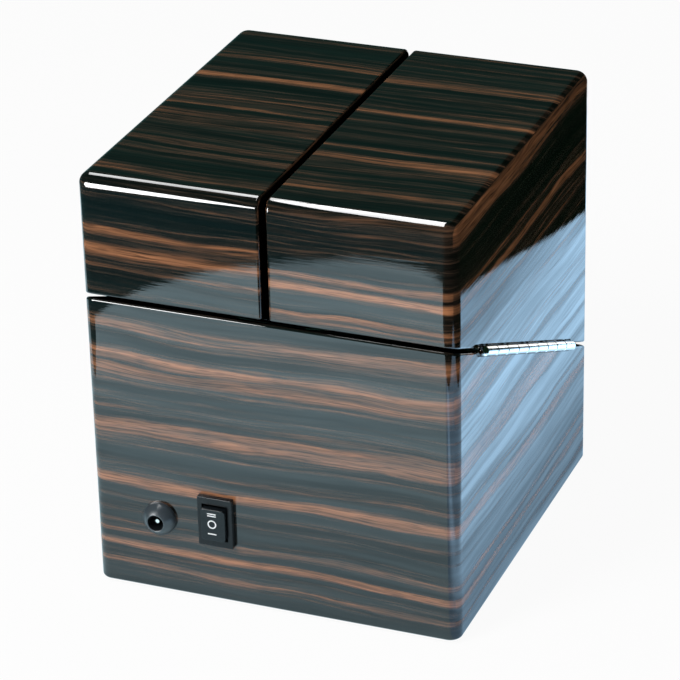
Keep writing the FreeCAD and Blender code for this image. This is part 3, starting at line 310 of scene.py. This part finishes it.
def stripe_ramp(f, run, stripes):
    """Strength of a sheet's broad stripes at a distance along the veneer."""
    stops = [(0, 0)]
    for place, half, strength in stripes:
        stops += [(place - half, 0), (place, strength), (place + half, 0)]
    share = f.math("DIVIDE", run, VENEER_END * MM)
    stripe = f.ramp(share, *[(place / VENEER_END, (1 + value,) * 3) for place, value in stops])
    stripe.node.color_ramp.interpolation = "EASE"
    return f.math("SUBTRACT", stripe, 1.0)


def lacquered_wood():
    f = Finish("striped_ebony_lacquer")
    x, y, z = f.split(f.place)
    turn_x, _, turn_z = f.split(f.facing)
    side = f.smooth(f.math("ABSOLUTE", turn_x), *FACE_TURN)
    top = f.smooth(turn_z, *FACE_TURN)
    along = f.blend(side, x, f.math("SUBTRACT", y, SIDE_SHIFT))
    run = f.math("MULTIPLY_ADD", f.math("SUBTRACT", BACK_FACE, y), top, z)
    rim = f.math("MULTIPLY_ADD", y, SLOPE_UP.z / SLOPE_UP.y, SLOPE_ORIGIN.z)
    wing = f.math("GREATER_THAN", z, rim)
    left = f.math("LESS_THAN", x, 0.0)
    sheet = f.math("MULTIPLY", wing, f.math("MULTIPLY_ADD", left, LEFT_STEP, RIGHT_SHEET))

    drift = f.noise(f.stretched(f.vector(along, run, sheet), DRIFT), detail=2)
    ripple = f.noise(f.stretched(f.vector(along, run, sheet), RIPPLE), detail=2)
    moved = f.math("ADD", run, f.spread(drift, -DRIFT_REACH, DRIFT_REACH))
    moved = f.math("ADD", moved, f.spread(ripple, -RIPPLE_REACH, RIPPLE_REACH))
    grain = f.vector(along, moved, sheet)

    stripes = f.blend(wing, stripe_ramp(f, moved, BASE_STRIPES),
                      f.blend(left, stripe_ramp(f, moved, RIGHT_STRIPES), stripe_ramp(f, moved, LEFT_STRIPES)))
    side_strength = f.blend(wing, BASE_SIDE_STRIPES, WING_SIDE_STRIPES)
    stripes = f.math("MULTIPLY", stripes, f.blend(side, 1.0, side_strength))
    edge = f.math("MULTIPLY", side, f.smooth(moved, *TOP_EDGE))
    stripes = f.math("MULTIPLY_ADD", edge, TOP_EDGE_STRIPE, stripes)
    bands = f.noise(f.stretched(grain, BANDS), detail=3, roughness=0.6)
    lines = f.noise(f.stretched(grain, LINES), detail=3, roughness=0.62)
    hairs = f.noise(f.stretched(grain, HAIRS), detail=3, roughness=0.65)
    pores = f.noise(f.stretched(grain, PORES), detail=1)
    layers = ((lines, LINE_SHARE), (bands, BAND_SHARE), (hairs, HAIR_SHARE), (stripes, STRIPE_SHARE))
    figure = FIGURE_OFFSET
    for layer, share in layers:
        figure = f.math("MULTIPLY_ADD", layer, share, figure)
    colour = f.ramp(figure, *EBONY)
    colour = f.tint(f.smooth(pores, *PORE_RANGE), colour, PORE_GREY, "MULTIPLY")

    outward = f.add("VectorMath", {"operation": "SUBTRACT"})
    f.feed(outward.inputs[0], f.place)
    outward.inputs[1].default_value = BOX_MIDDLE
    reach = f.add("VectorMath", {"operation": "DOT_PRODUCT"})
    f.feed(reach.inputs[0], outward.outputs[0])
    f.feed(reach.inputs[1], f.facing)
    shown = f.smooth(reach.outputs["Value"], *OUTWARD)
    colour = f.tint(shown, BLACK_EDGES_AND_BORE_SHADE, colour)

    haze = f.noise(f.stretched(grain, HAZE), detail=4, roughness=0.7)
    coat = f.math("MULTIPLY", shown, f.spread(f.smooth(haze, *HAZE_RANGE), HAZE_COAT, 1.0))
    sunken = f.math("MULTIPLY", side, f.smooth(figure, *SUNKEN_RANGE))
    coat = f.math("MULTIPLY", coat, f.spread(sunken, 1.0, SUNKEN_COAT))
    f.feed(f.surface.inputs["Coat Normal"], f.bump(f.math("ADD", figure, hairs), *TELEGRAPH))
    return f.set(Base_Color=colour, Roughness=0.5, Specular_IOR_Level=0.0,
                 Coat_Weight=coat, Coat_Roughness=0.015, Coat_IOR=1.7)


def raw_board():
    f = Finish("fibreboard")
    speck = f.noise(f.place, scale=900, detail=3, roughness=0.7)
    cloud = f.noise(f.place, scale=60, detail=2)
    colour = f.ramp(f.weighed(speck, 0.7, cloud, 0.3),
                    (0.35, (0.19, 0.125, 0.075)), (0.5, (0.30, 0.21, 0.135)), (0.66, (0.40, 0.30, 0.20)))
    return f.set(Base_Color=colour, Roughness=0.8, Normal=f.bump(speck, 0.3, 0.0003))


def felt():
    f = Finish("black_felt")
    fuzz = f.noise(f.place, scale=1500, detail=4, roughness=0.75)
    clump = f.noise(f.place, scale=220, detail=3, roughness=0.6)
    mixed = f.weighed(fuzz, 0.55, clump, 0.45)
    colour = f.ramp(mixed, (0.38, (0.008, 0.008, 0.009)), (0.62, (0.045, 0.045, 0.05)))
    return f.set(Base_Color=colour, Roughness=0.95, Sheen_Weight=0.5, Sheen_Roughness=0.5,
                 Normal=f.bump(mixed, 0.6, 0.0006))


def suede():
    f = Finish("black_suede")
    nap = f.noise(f.place, scale=1800, detail=4, roughness=0.7)
    stroke = f.noise(f.stretched(f.place, (30, 45, 30)), detail=3, roughness=0.6)
    colour = f.ramp(f.weighed(nap, 0.45, stroke, 0.55),
                    (0.36, (0.012, 0.011, 0.011)), (0.64, (0.05, 0.046, 0.044)))
    return f.set(Base_Color=colour, Roughness=0.9, Sheen_Weight=0.6, Sheen_Roughness=0.35,
                 Normal=f.bump(nap, 0.35, 0.0003))


def leatherette(name, dark, light, cell, roughness):
    """Grained skin, its creases darker as painted shade; cell is the number of pebbles in a metre."""
    f = Finish(name)
    creases = f.cells(f.place, cell, "DISTANCE_TO_EDGE")
    pebbles = f.cells(f.place, cell * 1.7)
    wide = f.noise(f.place, scale=55, detail=3)
    height = f.math("ADD", f.smooth(creases, 0.0, 0.16), f.math("MULTIPLY", pebbles, -0.35))
    # The colour follows the grain's height, so the creases between pebbles come out darker: painted shade
    colour = f.ramp(f.weighed(wide, 0.6, height, 0.25), (0.2, dark), (0.65, light))
    rough = f.spread(f.smooth(creases, 0.0, 0.2), roughness + 0.2, roughness)
    return f.set(Base_Color=colour, Roughness=rough, Specular_IOR_Level=0.45,
                 Normal=f.bump(height, 0.4, 0.0003))


def metal(name, dark, light, roughness, brushed=(400, 400, 400)):
    """Bare or plated metal; brushed is how fine its grain is along X, Y and Z."""
    f = Finish(name)
    grain = f.noise(f.stretched(f.place, brushed), detail=3, roughness=0.6)
    cloud = f.noise(f.place, scale=90, detail=2)
    colour = f.ramp(f.weighed(grain, 0.5, cloud, 0.5), (0.35, dark), (0.62, light))
    rough = f.spread(grain, roughness * 0.7, roughness * 1.4)
    return f.set(Base_Color=colour, Metallic=1.0, Roughness=rough, Normal=f.bump(grain, 0.05, 0.0001))


def plastic(name, dark, light, roughness, grain_depth, specular=0.5, shaded_bore=None):
    """Moulded plastic; the last argument gives the x, z and radius of a hole whose inside is painted flat black as
    painted shade.
    """
    f = Finish(name)
    spark = f.noise(f.place, scale=2600, detail=2, roughness=0.6)
    cloud = f.noise(f.place, scale=140, detail=2)
    colour = f.ramp(f.weighed(spark, 0.4, cloud, 0.6), (0.35, dark), (0.65, light))
    if shaded_bore:
        # Painted shade: inside the hole the colour turns flat black, standing in for the shade in it
        x, _, z = f.split(f.place)
        across, up = f.math("SUBTRACT", x, shaded_bore[0]), f.math("SUBTRACT", z, shaded_bore[1])
        away = f.math("SQRT", f.weighed(across, across, up, up))
        colour = f.tint(f.smooth(away, shaded_bore[2], shaded_bore[2] * 1.06), BLACK_EDGES_AND_BORE_SHADE, colour)
    rough = f.spread(cloud, roughness * 0.8, roughness * 1.25)
    return f.set(Base_Color=colour, Roughness=rough, Specular_IOR_Level=specular,
                 Normal=f.bump(spark, grain_depth, 0.0002))


def circuit_board():
    f = Finish("green_resist")
    tracks = f.noise(f.stretched(f.place, (900, 160, 1)), detail=0)
    edges = f.smooth(f.math("ABSOLUTE", f.math("SUBTRACT", tracks, 0.5)), 0.01, 0.03)
    colour = f.tint(edges, (0.02, 0.15, 0.06, 1), (0.012, 0.085, 0.036, 1))
    return f.set(Base_Color=colour, Roughness=0.35, Normal=f.bump(edges, 0.1, 0.0001))


socket_low, socket_high = (Vector(p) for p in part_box("power_socket"))
SOCKET_AXIS = ((socket_low.x + socket_high.x) / 2, (socket_low.z + socket_high.z) / 2)
SOCKET_MOUTH = 3.15 * MM

# One finish for each material slot: dark and light colour, then grain, roughness and gloss
FINISHES = {
    "wood": lacquered_wood(),
    "raw_board": raw_board(),
    "felt": felt(),
    "lining": suede(),
    "deck_skin": leatherette("deck_leatherette", (0.009, 0.009, 0.010), (0.03, 0.03, 0.032), 900, 0.42),
    "cushion": leatherette("cushion_leatherette", (0.016, 0.015, 0.015), (0.05, 0.046, 0.044), 750, 0.4),
    "nickel": metal("bright_nickel", (0.74, 0.71, 0.67), (0.95, 0.91, 0.86), 0.13),
    "steel": metal("plain_steel", (0.42, 0.42, 0.44), (0.62, 0.62, 0.64), 0.3, (40, 900, 900)),
    "screw_steel": metal("zinc_plate", (0.48, 0.48, 0.5), (0.7, 0.7, 0.72), 0.28),
    "bronze": metal("sintered_bronze", (0.42, 0.27, 0.12), (0.62, 0.44, 0.22), 0.42, (1500, 1500, 1500)),
    "brass": metal("turned_brass", (0.6, 0.43, 0.17), (0.8, 0.62, 0.3), 0.2),
    "can_metal": metal("motor_can_metal", (0.52, 0.52, 0.54), (0.74, 0.74, 0.76), 0.26, (60, 60, 1200)),
    "black_plastic": plastic("black_moulding", (0.004, 0.004, 0.005), (0.010, 0.010, 0.012), 0.24, 0.05, 0.27),
    "gloss_black": plastic("satin_black", (0.005, 0.007, 0.009), (0.010, 0.013, 0.016), 0.16, 0.02, 0.29),
    # The socket's colour is part dark grey plastic, part a painted bluish sheen standing in for reflected light;
    # inside its mouth it is painted shade
    "socket_black": plastic("grey_black_with_painted_sheen", (0.030, 0.042, 0.052), (0.050, 0.064, 0.078), 0.3, 0.02, 0.6,
                            (*SOCKET_AXIS, SOCKET_MOUTH)),
    "gear_plastic": plastic("natural_nylon", (0.72, 0.69, 0.61), (0.88, 0.86, 0.8), 0.45, 0.08),
    "white_plastic": plastic("white_nylon", (0.74, 0.73, 0.69), (0.88, 0.87, 0.83), 0.4, 0.05),
    "sign_white": plastic("sign_white", (0.90, 0.92, 0.94), (0.96, 0.98, 1.0), 0.4, 0.02),
    "board": circuit_board(),
    "wire": plastic("wire_insulation", (0.20, 0.012, 0.012), (0.32, 0.025, 0.022), 0.4, 0.03),
}


def dress(thing, slot, finish=None):
    thing.data.materials.clear()
    thing.data.materials.append(FINISHES[finish or slot])


def node_slots():
    """Material slot of every CAD node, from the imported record."""
    return {part["node"]: part["material_slot"] for part in frame["record"]["subparts"]}


# Studio
def studio_world():
    world = bpy.data.worlds.new("studio")
    world.use_nodes = True
    scene.world = world
    t = Tree(world.node_tree)
    background = world.node_tree.nodes["Background"]
    background.inputs["Color"].default_value = WHITE
    t.feed(background.inputs["Strength"], t.blend(seen_rays(t), AMBIENT, 1.0))


def seen_rays(t):
    """1 for rays that show the background itself: the camera's, and those of gloss and glass."""
    path = t.add("LightPath").outputs
    shown = t.math("MAXIMUM", path["Is Camera Ray"], path["Is Glossy Ray"])
    return t.math("MAXIMUM", shown, path["Is Transmission Ray"])


def mesh_object(name, points, faces):
    mesh = bpy.data.meshes.new(name)
    mesh.from_pydata(points, [], faces)
    mesh.update()
    made = bpy.data.objects.new(name, mesh)
    scene.collection.objects.link(made)
    return made


def ring_faces(rings, count, closed=False):
    """Quads between rings of points; closed joins the last ring to the first."""
    faces = []
    for row in range(rings if closed else rings - 1):
        following = (row + 1) % rings
        for i in range(count):
            j = (i + 1) % count
            faces.append((row * count + i, row * count + j, following * count + j, following * count + i))
    return faces


def face_outward(piece):
    """Turn every face of a closed piece outward."""
    mesh = bmesh.new()
    mesh.from_mesh(piece.data)
    bmesh.ops.recalc_face_normals(mesh, faces=mesh.faces)
    mesh.to_mesh(piece.data)
    mesh.free()


def white_floor():
    half = FLOOR_SIZE / 2
    corners = [(-half, -half), (half, -half), (half, half), (-half, half)]
    floor = mesh_object("floor", [(x, y, -FLOOR_DROP) for x, y in corners], [(0, 1, 2, 3)])
    f = Finish("white_floor")
    f.set(Base_Color=FLOOR_PALE, Roughness=0.9, Specular_IOR_Level=0.0)
    white = f.add("Emission", Color=WHITE)
    mixed = f.add("MixShader", Fac=f.math("MULTIPLY", seen_rays(f), FLOOR_GLOW))
    f.feed(mixed.inputs[1], f.surface.outputs[0])
    f.feed(mixed.inputs[2], white.outputs[0])
    f.feed(f.tree.nodes["Material Output"].inputs["Surface"], mixed.outputs[0])
    floor.data.materials.append(f.material)


def camera_axes():
    az, el, roll = (math.radians(a) for a in (CAMERA_AZIMUTH, CAMERA_ELEVATION, CAMERA_ROLL))
    back = Vector((math.sin(az) * math.cos(el), -math.cos(az) * math.cos(el), math.sin(el)))
    right = Vector((math.cos(az), math.sin(az), 0))
    up = back.cross(right)
    return (right * math.cos(roll) + up * math.sin(roll),
            up * math.cos(roll) - right * math.sin(roll), back)


def sheet_outline(steps=4):
    """Smooth edge of the white sheet in the floor's plane."""
    az = math.radians(CAMERA_AZIMUTH)
    right = Vector((math.cos(az), math.sin(az), 0)) * MM
    near = Vector((math.sin(az), -math.cos(az), 0)) * MM
    marks = [right * r + near * b for r, b in SHEET_EDGE]
    points = []
    for i, start in enumerate(marks):
        before, end, after = marks[i - 1], marks[(i + 1) % len(marks)], marks[(i + 2) % len(marks)]
        slope = end - before
        bend = before * 2 - start * 5 + end * 4 - after
        twist = (start - end) * 3 + after - before
        for step in range(steps):
            t = step / steps
            points.append(start + slope * (t / 2) + bend * (t ** 2 / 2) + twist * (t ** 3 / 2))
    return points


def dark_room():
    """Dark surround that only gloss sees: the floor beyond the white sheet, and a dome above."""
    inner = sheet_outline()
    rings = [inner]
    for lift in ROOM_LIFTS:
        angle = math.radians(lift)
        ring = []
        for point in inner:
            out = point.normalized() * ROOM_RADIUS
            ring.append(out * math.cos(angle) + Vector((0, 0, ROOM_RADIUS * math.sin(angle))))
        rings.append(ring)
    count = len(inner)
    points = [p for ring in rings for p in ring] + [Vector((0, 0, ROOM_RADIUS))]
    faces = ring_faces(len(rings), count)
    last = (len(rings) - 1) * count
    faces += [(last + i, last + (i + 1) % count, len(points) - 1) for i in range(count)]
    room = mesh_object("dark_room", points, faces)
    f = Finish("dark_room")
    x, _, z = f.split(f.place)
    walls = f.tint(f.smooth(z, *ROOM_CLIMB), ROOM_LOW, ROOM_HIGH)
    gloss_only(room, f, Color=f.tint(f.smooth(x, *ROOM_TURN), ROOM_SIDE, walls))


def white_sheet():
    """Lit sheet under the box, which only gloss sees; it dims towards the box's foot as a painted shadow of the
    box, and is bluer beside it, where a painted pool of light lies.
    """
    outline = [point - Vector((0, 0, FLOOR_DROP / 2)) for point in sheet_outline()]
    sheet = mesh_object("white_sheet", outline, [tuple(range(len(outline)))])
    f = Finish("white_sheet")
    x, y, _ = f.split(f.place)
    away = f.math("MULTIPLY", x, -1.0)
    turn = f.blend(f.smooth(y, *TURN_DEPTH), TURN_FRONT, TURN_BEHIND)
    past = f.math("MULTIPLY_ADD", f.math("SUBTRACT", away, TURN_AT), f.math("DIVIDE", 1.0, turn), 1.0)
    beside = f.add("Clamp", Value=past).outputs[0]
    # Painted shadow of the box: the glow is lower close to the box's foot, and beside it rises into a painted pool
    # of light
    behind_glow = f.math("MULTIPLY_ADD", f.smooth(y, *BEHIND_RISE), BEHIND_GAIN, BEHIND_LEVEL)
    beside_glow = f.math("MULTIPLY_ADD", f.smooth(away, *BESIDE_RISE), BESIDE_GAIN, BESIDE_LEVEL)
    beside_glow = f.math("MULTIPLY_ADD", f.smooth(away, *BESIDE_FALL), BESIDE_LOSS, beside_glow)
    tone = f.tint(beside, BACK_TINT, SIDE_TINT)
    tone = f.tint(f.smooth(y, *FAR_FRONT), tone, WHITE)
    gloss_only(sheet, f, Color=tone, Strength=f.blend(beside, behind_glow, beside_glow))


def gloss_only(thing, f, **light):
    """Stage piece that shines by its own light and that only gloss sees."""
    for name in ("camera", "diffuse", "transmission", "volume_scatter", "shadow"):
        setattr(thing, f"visible_{name}", False)
    f.tree.nodes.remove(f.surface)
    glow = f.add("Emission", **light)
    f.feed(f.tree.nodes["Material Output"].inputs["Surface"], glow.outputs[0])
    thing.data.materials.append(f.material)


def lamp(name, place, target, width, depth, power, shape, unseen_by):
    """Area lamp whose width lies as level along X as its aim allows."""
    light = bpy.data.lights.new(name, "AREA")
    light.shape = shape
    light.size = width
    light.size_y = depth
    light.energy = power
    made = bpy.data.objects.new(name, light)
    out = (Vector(place) - Vector(target)).normalized()
    across = (Vector((1, 0, 0)) - out * out.x).normalized()
    made.matrix_world = Matrix((across, out.cross(across), out)).transposed().to_4x4()
    made.matrix_world.translation = place
    made.visible_camera = False
    setattr(made, f"visible_{unseen_by}", False)
    scene.collection.objects.link(made)


def photo_camera():
    right, up, back = camera_axes()
    data = bpy.data.cameras.new("photo_camera")
    data.lens = CAMERA_LENS
    data.sensor_width = CAMERA_SENSOR
    data.clip_start = CAMERA_CLIP
    made = bpy.data.objects.new("photo_camera", data)
    place = CAMERA_TARGET + back * CAMERA_DISTANCE + right * CAMERA_SLIDE[0] + up * CAMERA_SLIDE[1]
    made.matrix_world = Matrix((right, up, back)).transposed().to_4x4()
    made.matrix_world.translation = place
    scene.collection.objects.link(made)
    scene.camera = made


# Soft pieces
def finish_piece(piece, slot, body, *nodes_replaced):
    dress(piece, slot)
    for face in piece.data.polygons:
        face.use_smooth = True
    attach(piece, body)
    if nodes_replaced:
        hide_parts(*nodes_replaced)
    return piece


def rounded_outline(half_u, half_v, radius, steps=8):
    """Points round a rectangle with rounded corners, anticlockwise."""
    points = []
    for i, (su, sv) in enumerate(((1, 1), (-1, 1), (-1, -1), (1, -1))):
        for step in range(steps + 1):
            angle = math.pi / 2 * (i + step / steps)
            points.append((su * (half_u - radius) + radius * math.cos(angle),
                           sv * (half_v - radius) + radius * math.sin(angle)))
    return points


def tube_object(name, rings):
    """Closed skin over rings of points of one length."""
    count = len(rings[0])
    faces = ring_faces(len(rings), count)
    faces.append(tuple(reversed(range(count))))
    faces.append(tuple(range((len(rings) - 1) * count, len(rings) * count)))
    return mesh_object(name, [p for ring in rings for p in ring], faces)


def settle(piece, voxel):
    """Turn the piece into one even skin."""
    remesh = piece.modifiers.new("remesh", "REMESH")
    remesh.mode = "VOXEL"
    remesh.voxel_size = voxel
    keep_result(piece)


def keep_result(piece):
    """Apply every modifier."""
    graph = bpy.context.evaluated_depsgraph_get()
    mesh = bpy.data.meshes.new_from_object(piece.evaluated_get(graph))
    piece.modifiers.clear()
    piece.data = mesh


def puff(piece, pressure, cap, frames=20):
    """Swell the skin like stuffed cloth, with no point moving further than the cap."""
    before = [v.co.copy() for v in piece.data.vertices]
    cloth = piece.modifiers.new("cloth", "CLOTH")
    cloth.settings.use_pressure = True
    cloth.settings.uniform_pressure_force = pressure
    cloth.settings.effector_weights.gravity = 0
    cloth.settings.quality = 6
    for number in range(1, frames + 1):
        scene.frame_set(number)
    keep_result(piece)
    scene.frame_set(1)
    for vertex, start in zip(piece.data.vertices, before):
        move = vertex.co - start
        if move.length > cap:
            vertex.co = start + move * (cap / move.length)


CUSHION_HALF = Vector((23, 35, 21)) * MM
CUSHION_MIDDLE = 0.35 * MM
CUSHION_ROUND = 17 * MM
CUSHION_SLACK = 1.6 * MM
CUSHION_RINGS = 10
CUSHION_PRESSURE = 4
END_SWELL = 6 * MM
END_POWER = 7
SKIN_VOXEL = 2.6 * MM
SEAM_AT = 18.5 * MM
SEAM_WIDTH = 2.2 * MM
SEAM_DEPTH = 1.3 * MM
PUCKERS = 46
PUCKER_SHARE = 0.35
PIPING_RADIUS = 1.0 * MM
PIPING_INSET = 4.9 * MM


def on_slope(x, u, n):
    return SLOPE_ORIGIN + Vector((x, 0, 0)) + SLOPE_UP * u + SLOPE_NORMAL * n


def cushion_ring(x, inset):
    half_u = CUSHION_HALF.y - inset
    half_n = CUSHION_HALF.z - inset
    ring = rounded_outline(half_u, half_n, CUSHION_ROUND - inset)
    return [on_slope(x, u, CUSHION_MIDDLE + n) for u, n in ring]


def watch_cushion():
    """Stuffed leatherette pillow with a piped seam near each end."""
    rings = []
    for step in range(-CUSHION_RINGS, CUSHION_RINGS + 1):
        share = step / CUSHION_RINGS
        swell = CUSHION_SLACK + END_SWELL * abs(share) ** END_POWER
        rings.append(cushion_ring(share * (CUSHION_HALF.x - CUSHION_SLACK), swell))
    pillow = tube_object("cushion_cover", rings)
    settle(pillow, SKIN_VOXEL)
    puff(pillow, CUSHION_PRESSURE, CUSHION_SLACK)
    centre = on_slope(0, 0, CUSHION_MIDDLE)
    for vertex in pillow.data.vertices:
        offset = vertex.co - centre
        u, n = offset.dot(SLOPE_UP), offset.dot(SLOPE_NORMAL)
        pull = math.exp(-((abs(offset.x) - SEAM_AT) / SEAM_WIDTH) ** 2)
        pucker = 1 + PUCKER_SHARE * math.sin(math.atan2(n, u) * PUCKERS)
        outward = (SLOPE_UP * u + SLOPE_NORMAL * n).normalized()
        vertex.co -= outward * SEAM_DEPTH * pull * pucker
    pillow.modifiers.new("smooth", "SUBSURF").levels = 1
    pillow.modifiers["smooth"].render_levels = 1
    keep_result(pillow)
    finish_piece(pillow, "cushion", "cushion", "watch_cushion")
    for side, name in ((-1, "cushion_piping_left"), (1, "cushion_piping_right")):
        path = cushion_ring(side * SEAM_AT, PIPING_INSET)
        finish_piece(closed_cord(name, path, Vector((1, 0, 0)), PIPING_RADIUS), "cushion", "cushion")


def closed_cord(name, path, across, radius, sides=10):
    """Round cord along a closed flat path; across is the path's own normal."""
    count = len(path)
    points = []
    for i in range(count):
        along = (path[(i + 1) % count] - path[i - 1]).normalized()
        out = along.cross(across)
        for k in range(sides):
            angle = 2 * math.pi * k / sides
            points.append(path[i] + radius * (out * math.cos(angle) + across * math.sin(angle)))
    return mesh_object(name, points, ring_faces(count, sides, closed=True))


LINING_THICK = 1.0 * MM
LINING_EDGE = 0.35 * MM
LINING_INSET = 0.25 * MM
# Shares of a panel's width at which its edge rolls over
LINING_ROLL = (0, 0.004, 0.012, 0.03)


def soft_panel(corners, inward, steps=14):
    """Thin padded panel over a flat four-cornered outline; the soft face looks inward."""
    a, b, c, d = (Vector(corner) for corner in corners)
    roll = LINING_ROLL[-1]
    flat = [roll + (1 - 2 * roll) * i / steps for i in range(1, steps)]
    stops = [*LINING_ROLL, *flat, *(1 - share for share in reversed(LINING_ROLL))]
    rows = []
    for v in stops:
        row = []
        for u in stops:
            place = (a * (1 - u) + b * u) * (1 - v) + (d * (1 - u) + c * u) * v
            rim = min(u, 1 - u, v, 1 - v)
            rise = LINING_EDGE + (LINING_THICK - LINING_EDGE) * min(1, rim / roll) ** 0.5
            row.append(place + inward * rise)
        rows.append(row)
    return rows


def wing_lining(side, wing):
    """Four suede-covered panels inside a wing: outer side, top, back and front."""
    low, high = (Vector(p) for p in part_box(f"{wing}_lining"))
    outer = low.x if side < 0 else high.x
    inner = high.x if side < 0 else low.x
    climb = SLOPE_UP.z / SLOPE_UP.y
    back_low = low.z + (high.y - low.y) * climb
    step = Vector((-side, 0, 0))
    gap = LINING_INSET
    deep = LINING_THICK + gap
    x_from, x_to = outer - side * deep, inner + side * gap
    panels = [
        ([(outer, low.y + gap, low.z + gap), (outer, high.y - gap, back_low + gap),
          (outer, high.y - gap, high.z - gap), (outer, low.y + gap, high.z - gap)], step),
        ([(x_from, low.y + gap, high.z), (x_to, low.y + gap, high.z),
          (x_to, high.y - gap, high.z), (x_from, high.y - gap, high.z)], Vector((0, 0, -1))),
        ([(x_from, high.y, back_low + gap), (x_to, high.y, back_low + gap),
          (x_to, high.y, high.z - deep), (x_from, high.y, high.z - deep)], Vector((0, -1, 0))),
        ([(x_from, low.y, low.z + gap), (x_to, low.y, low.z + gap),
          (x_to, low.y, high.z - deep), (x_from, low.y, high.z - deep)], Vector((0, 1, 0))),
    ]
    points, faces = [], []
    for corners, inward in panels:
        rows = soft_panel(corners, inward)
        start, width = len(points), len(rows)
        points += [p for row in rows for p in row]
        for r in range(width - 1):
            for c in range(width - 1):
                first = start + r * width + c
                faces.append((first, first + 1, first + width + 1, first + width))
        last = width - 1
        ring = [*range(width), *(r * width + last for r in range(1, width))]
        ring += [last * width + c for c in range(last - 1, -1, -1)]
        ring += [r * width for r in range(last - 1, 0, -1)]
        under = len(points)
        for index in ring:
            point = points[start + index]
            points.append(point - inward * (point - Vector(corners[0])).dot(inward))
        count = len(ring)
        for i in range(count):
            j = (i + 1) % count
            faces.append((start + ring[i], under + i, under + j, start + ring[j]))
        faces.append(tuple(under + i for i in range(count)))
    panel = mesh_object(f"{wing}_suede", points, faces)
    face_outward(panel)
    finish_piece(panel, "lining", wing, f"{wing}_lining")


FELT_EDGE = 0.45 * MM
FELT_CORNER = 4 * MM
# The pad's edge from top to bottom: share of the edge's inset, share of the thickness
FELT_PROFILE = ((0.3, 1), (0, 1), (0, 0.7), (0.12, 0.3), (0.45, 0.06), (1.0, 0))


def felt_pad():
    """Felt glued under the base, with a soft cut edge."""
    low, high = (Vector(p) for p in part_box("base_pad"))
    half = (high - low) / 2
    thick = high.z - low.z
    rings = []
    for inset, level in FELT_PROFILE:
        inset *= FELT_EDGE
        ring = rounded_outline(half.x - inset, half.y - inset, FELT_CORNER - inset)
        rings.append([Vector((x, y, low.z + thick * level)) for x, y in ring])
    pad = tube_object("felt_pad", rings)
    finish_piece(pad, "felt", "base", "base_pad")


# Signs on the rocker: two bars, a ring and one bar
ROCKER_PIVOT = Vector(joints["rocker_tilt"]["pos_m"])
ROCKER_HOLLOW = 4.85 * MM
ROCKER_CURVE = 66.23 * MM
SIGN_RISE = 0.03 * MM
SIGN_STEP = 4.15 * MM
SIGN_SHIFT = (0.4 * MM, 0.2 * MM)
RING_OUTER = 1.85 * MM
RING_INNER = 1.3 * MM
RING_STEPS = 48
BAR_HALF = 1.8 * MM
BAR_WEIGHT = 0.26 * MM
BAR_CORNER = 0.12 * MM
BAR_BEVEL = 0.1 * MM
BAR_RIDGE = 0.02 * MM
BAR_SPACING = 0.47 * MM


def rocker_face(x, z, rise):
    """Point over the hollow face of the rocker."""
    x, z = x + SIGN_SHIFT[0], z + SIGN_SHIFT[1]
    sag = ROCKER_CURVE - math.sqrt(ROCKER_CURVE ** 2 - z ** 2)
    return ROCKER_PIVOT + Vector((x, ROCKER_HOLLOW + sag + rise, z))


def sign_loop(outer, inner, points, faces):
    """Raised closed band between two outlines of (x, z) points."""
    start, count = len(points), len(outer)
    for outline, rise in ((outer, -SIGN_RISE), (outer, SIGN_RISE), (inner, SIGN_RISE), (inner, -SIGN_RISE)):
        points += [rocker_face(x, z, rise) for x, z in outline]
    faces += [tuple(start + index for index in face) for face in ring_faces(4, count, closed=True)]


def switch_signs():
    points, faces = [], []
    angles = [2 * math.pi * i / RING_STEPS for i in range(RING_STEPS)]
    circle = [(math.cos(angle), math.sin(angle)) for angle in angles]
    sign_loop([(RING_OUTER * x, RING_OUTER * z) for x, z in circle],
              [(RING_INNER * x, RING_INNER * z) for x, z in circle], points, faces)
    for z in (SIGN_STEP + BAR_SPACING, SIGN_STEP - BAR_SPACING, -SIGN_STEP):
        bar = rounded_outline(BAR_HALF, BAR_WEIGHT, BAR_CORNER, steps=3)
        slim = rounded_outline(BAR_HALF - BAR_BEVEL, BAR_RIDGE, BAR_RIDGE / 2, steps=3)
        sign_loop([(x, z + h) for x, h in bar], [(x, z + h) for x, h in slim], points, faces)
    signs = mesh_object("switch_signs", points, faces)
    face_outward(signs)
    dress(signs, "white_plastic", "sign_white")
    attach(signs, "rocker")


# The studio, then a finish on every node, then the soft pieces and signs
studio_world()
white_floor()
dark_room()
white_sheet()
for values in LAMPS:
    lamp(*values)
photo_camera()

for name, slot in node_slots().items():
    dress(nodes[name], slot, "socket_black" if name == "power_socket" else None)

watch_cushion()
wing_lining(-1, "left_wing")
wing_lining(1, "right_wing")
felt_pad()
switch_signs()
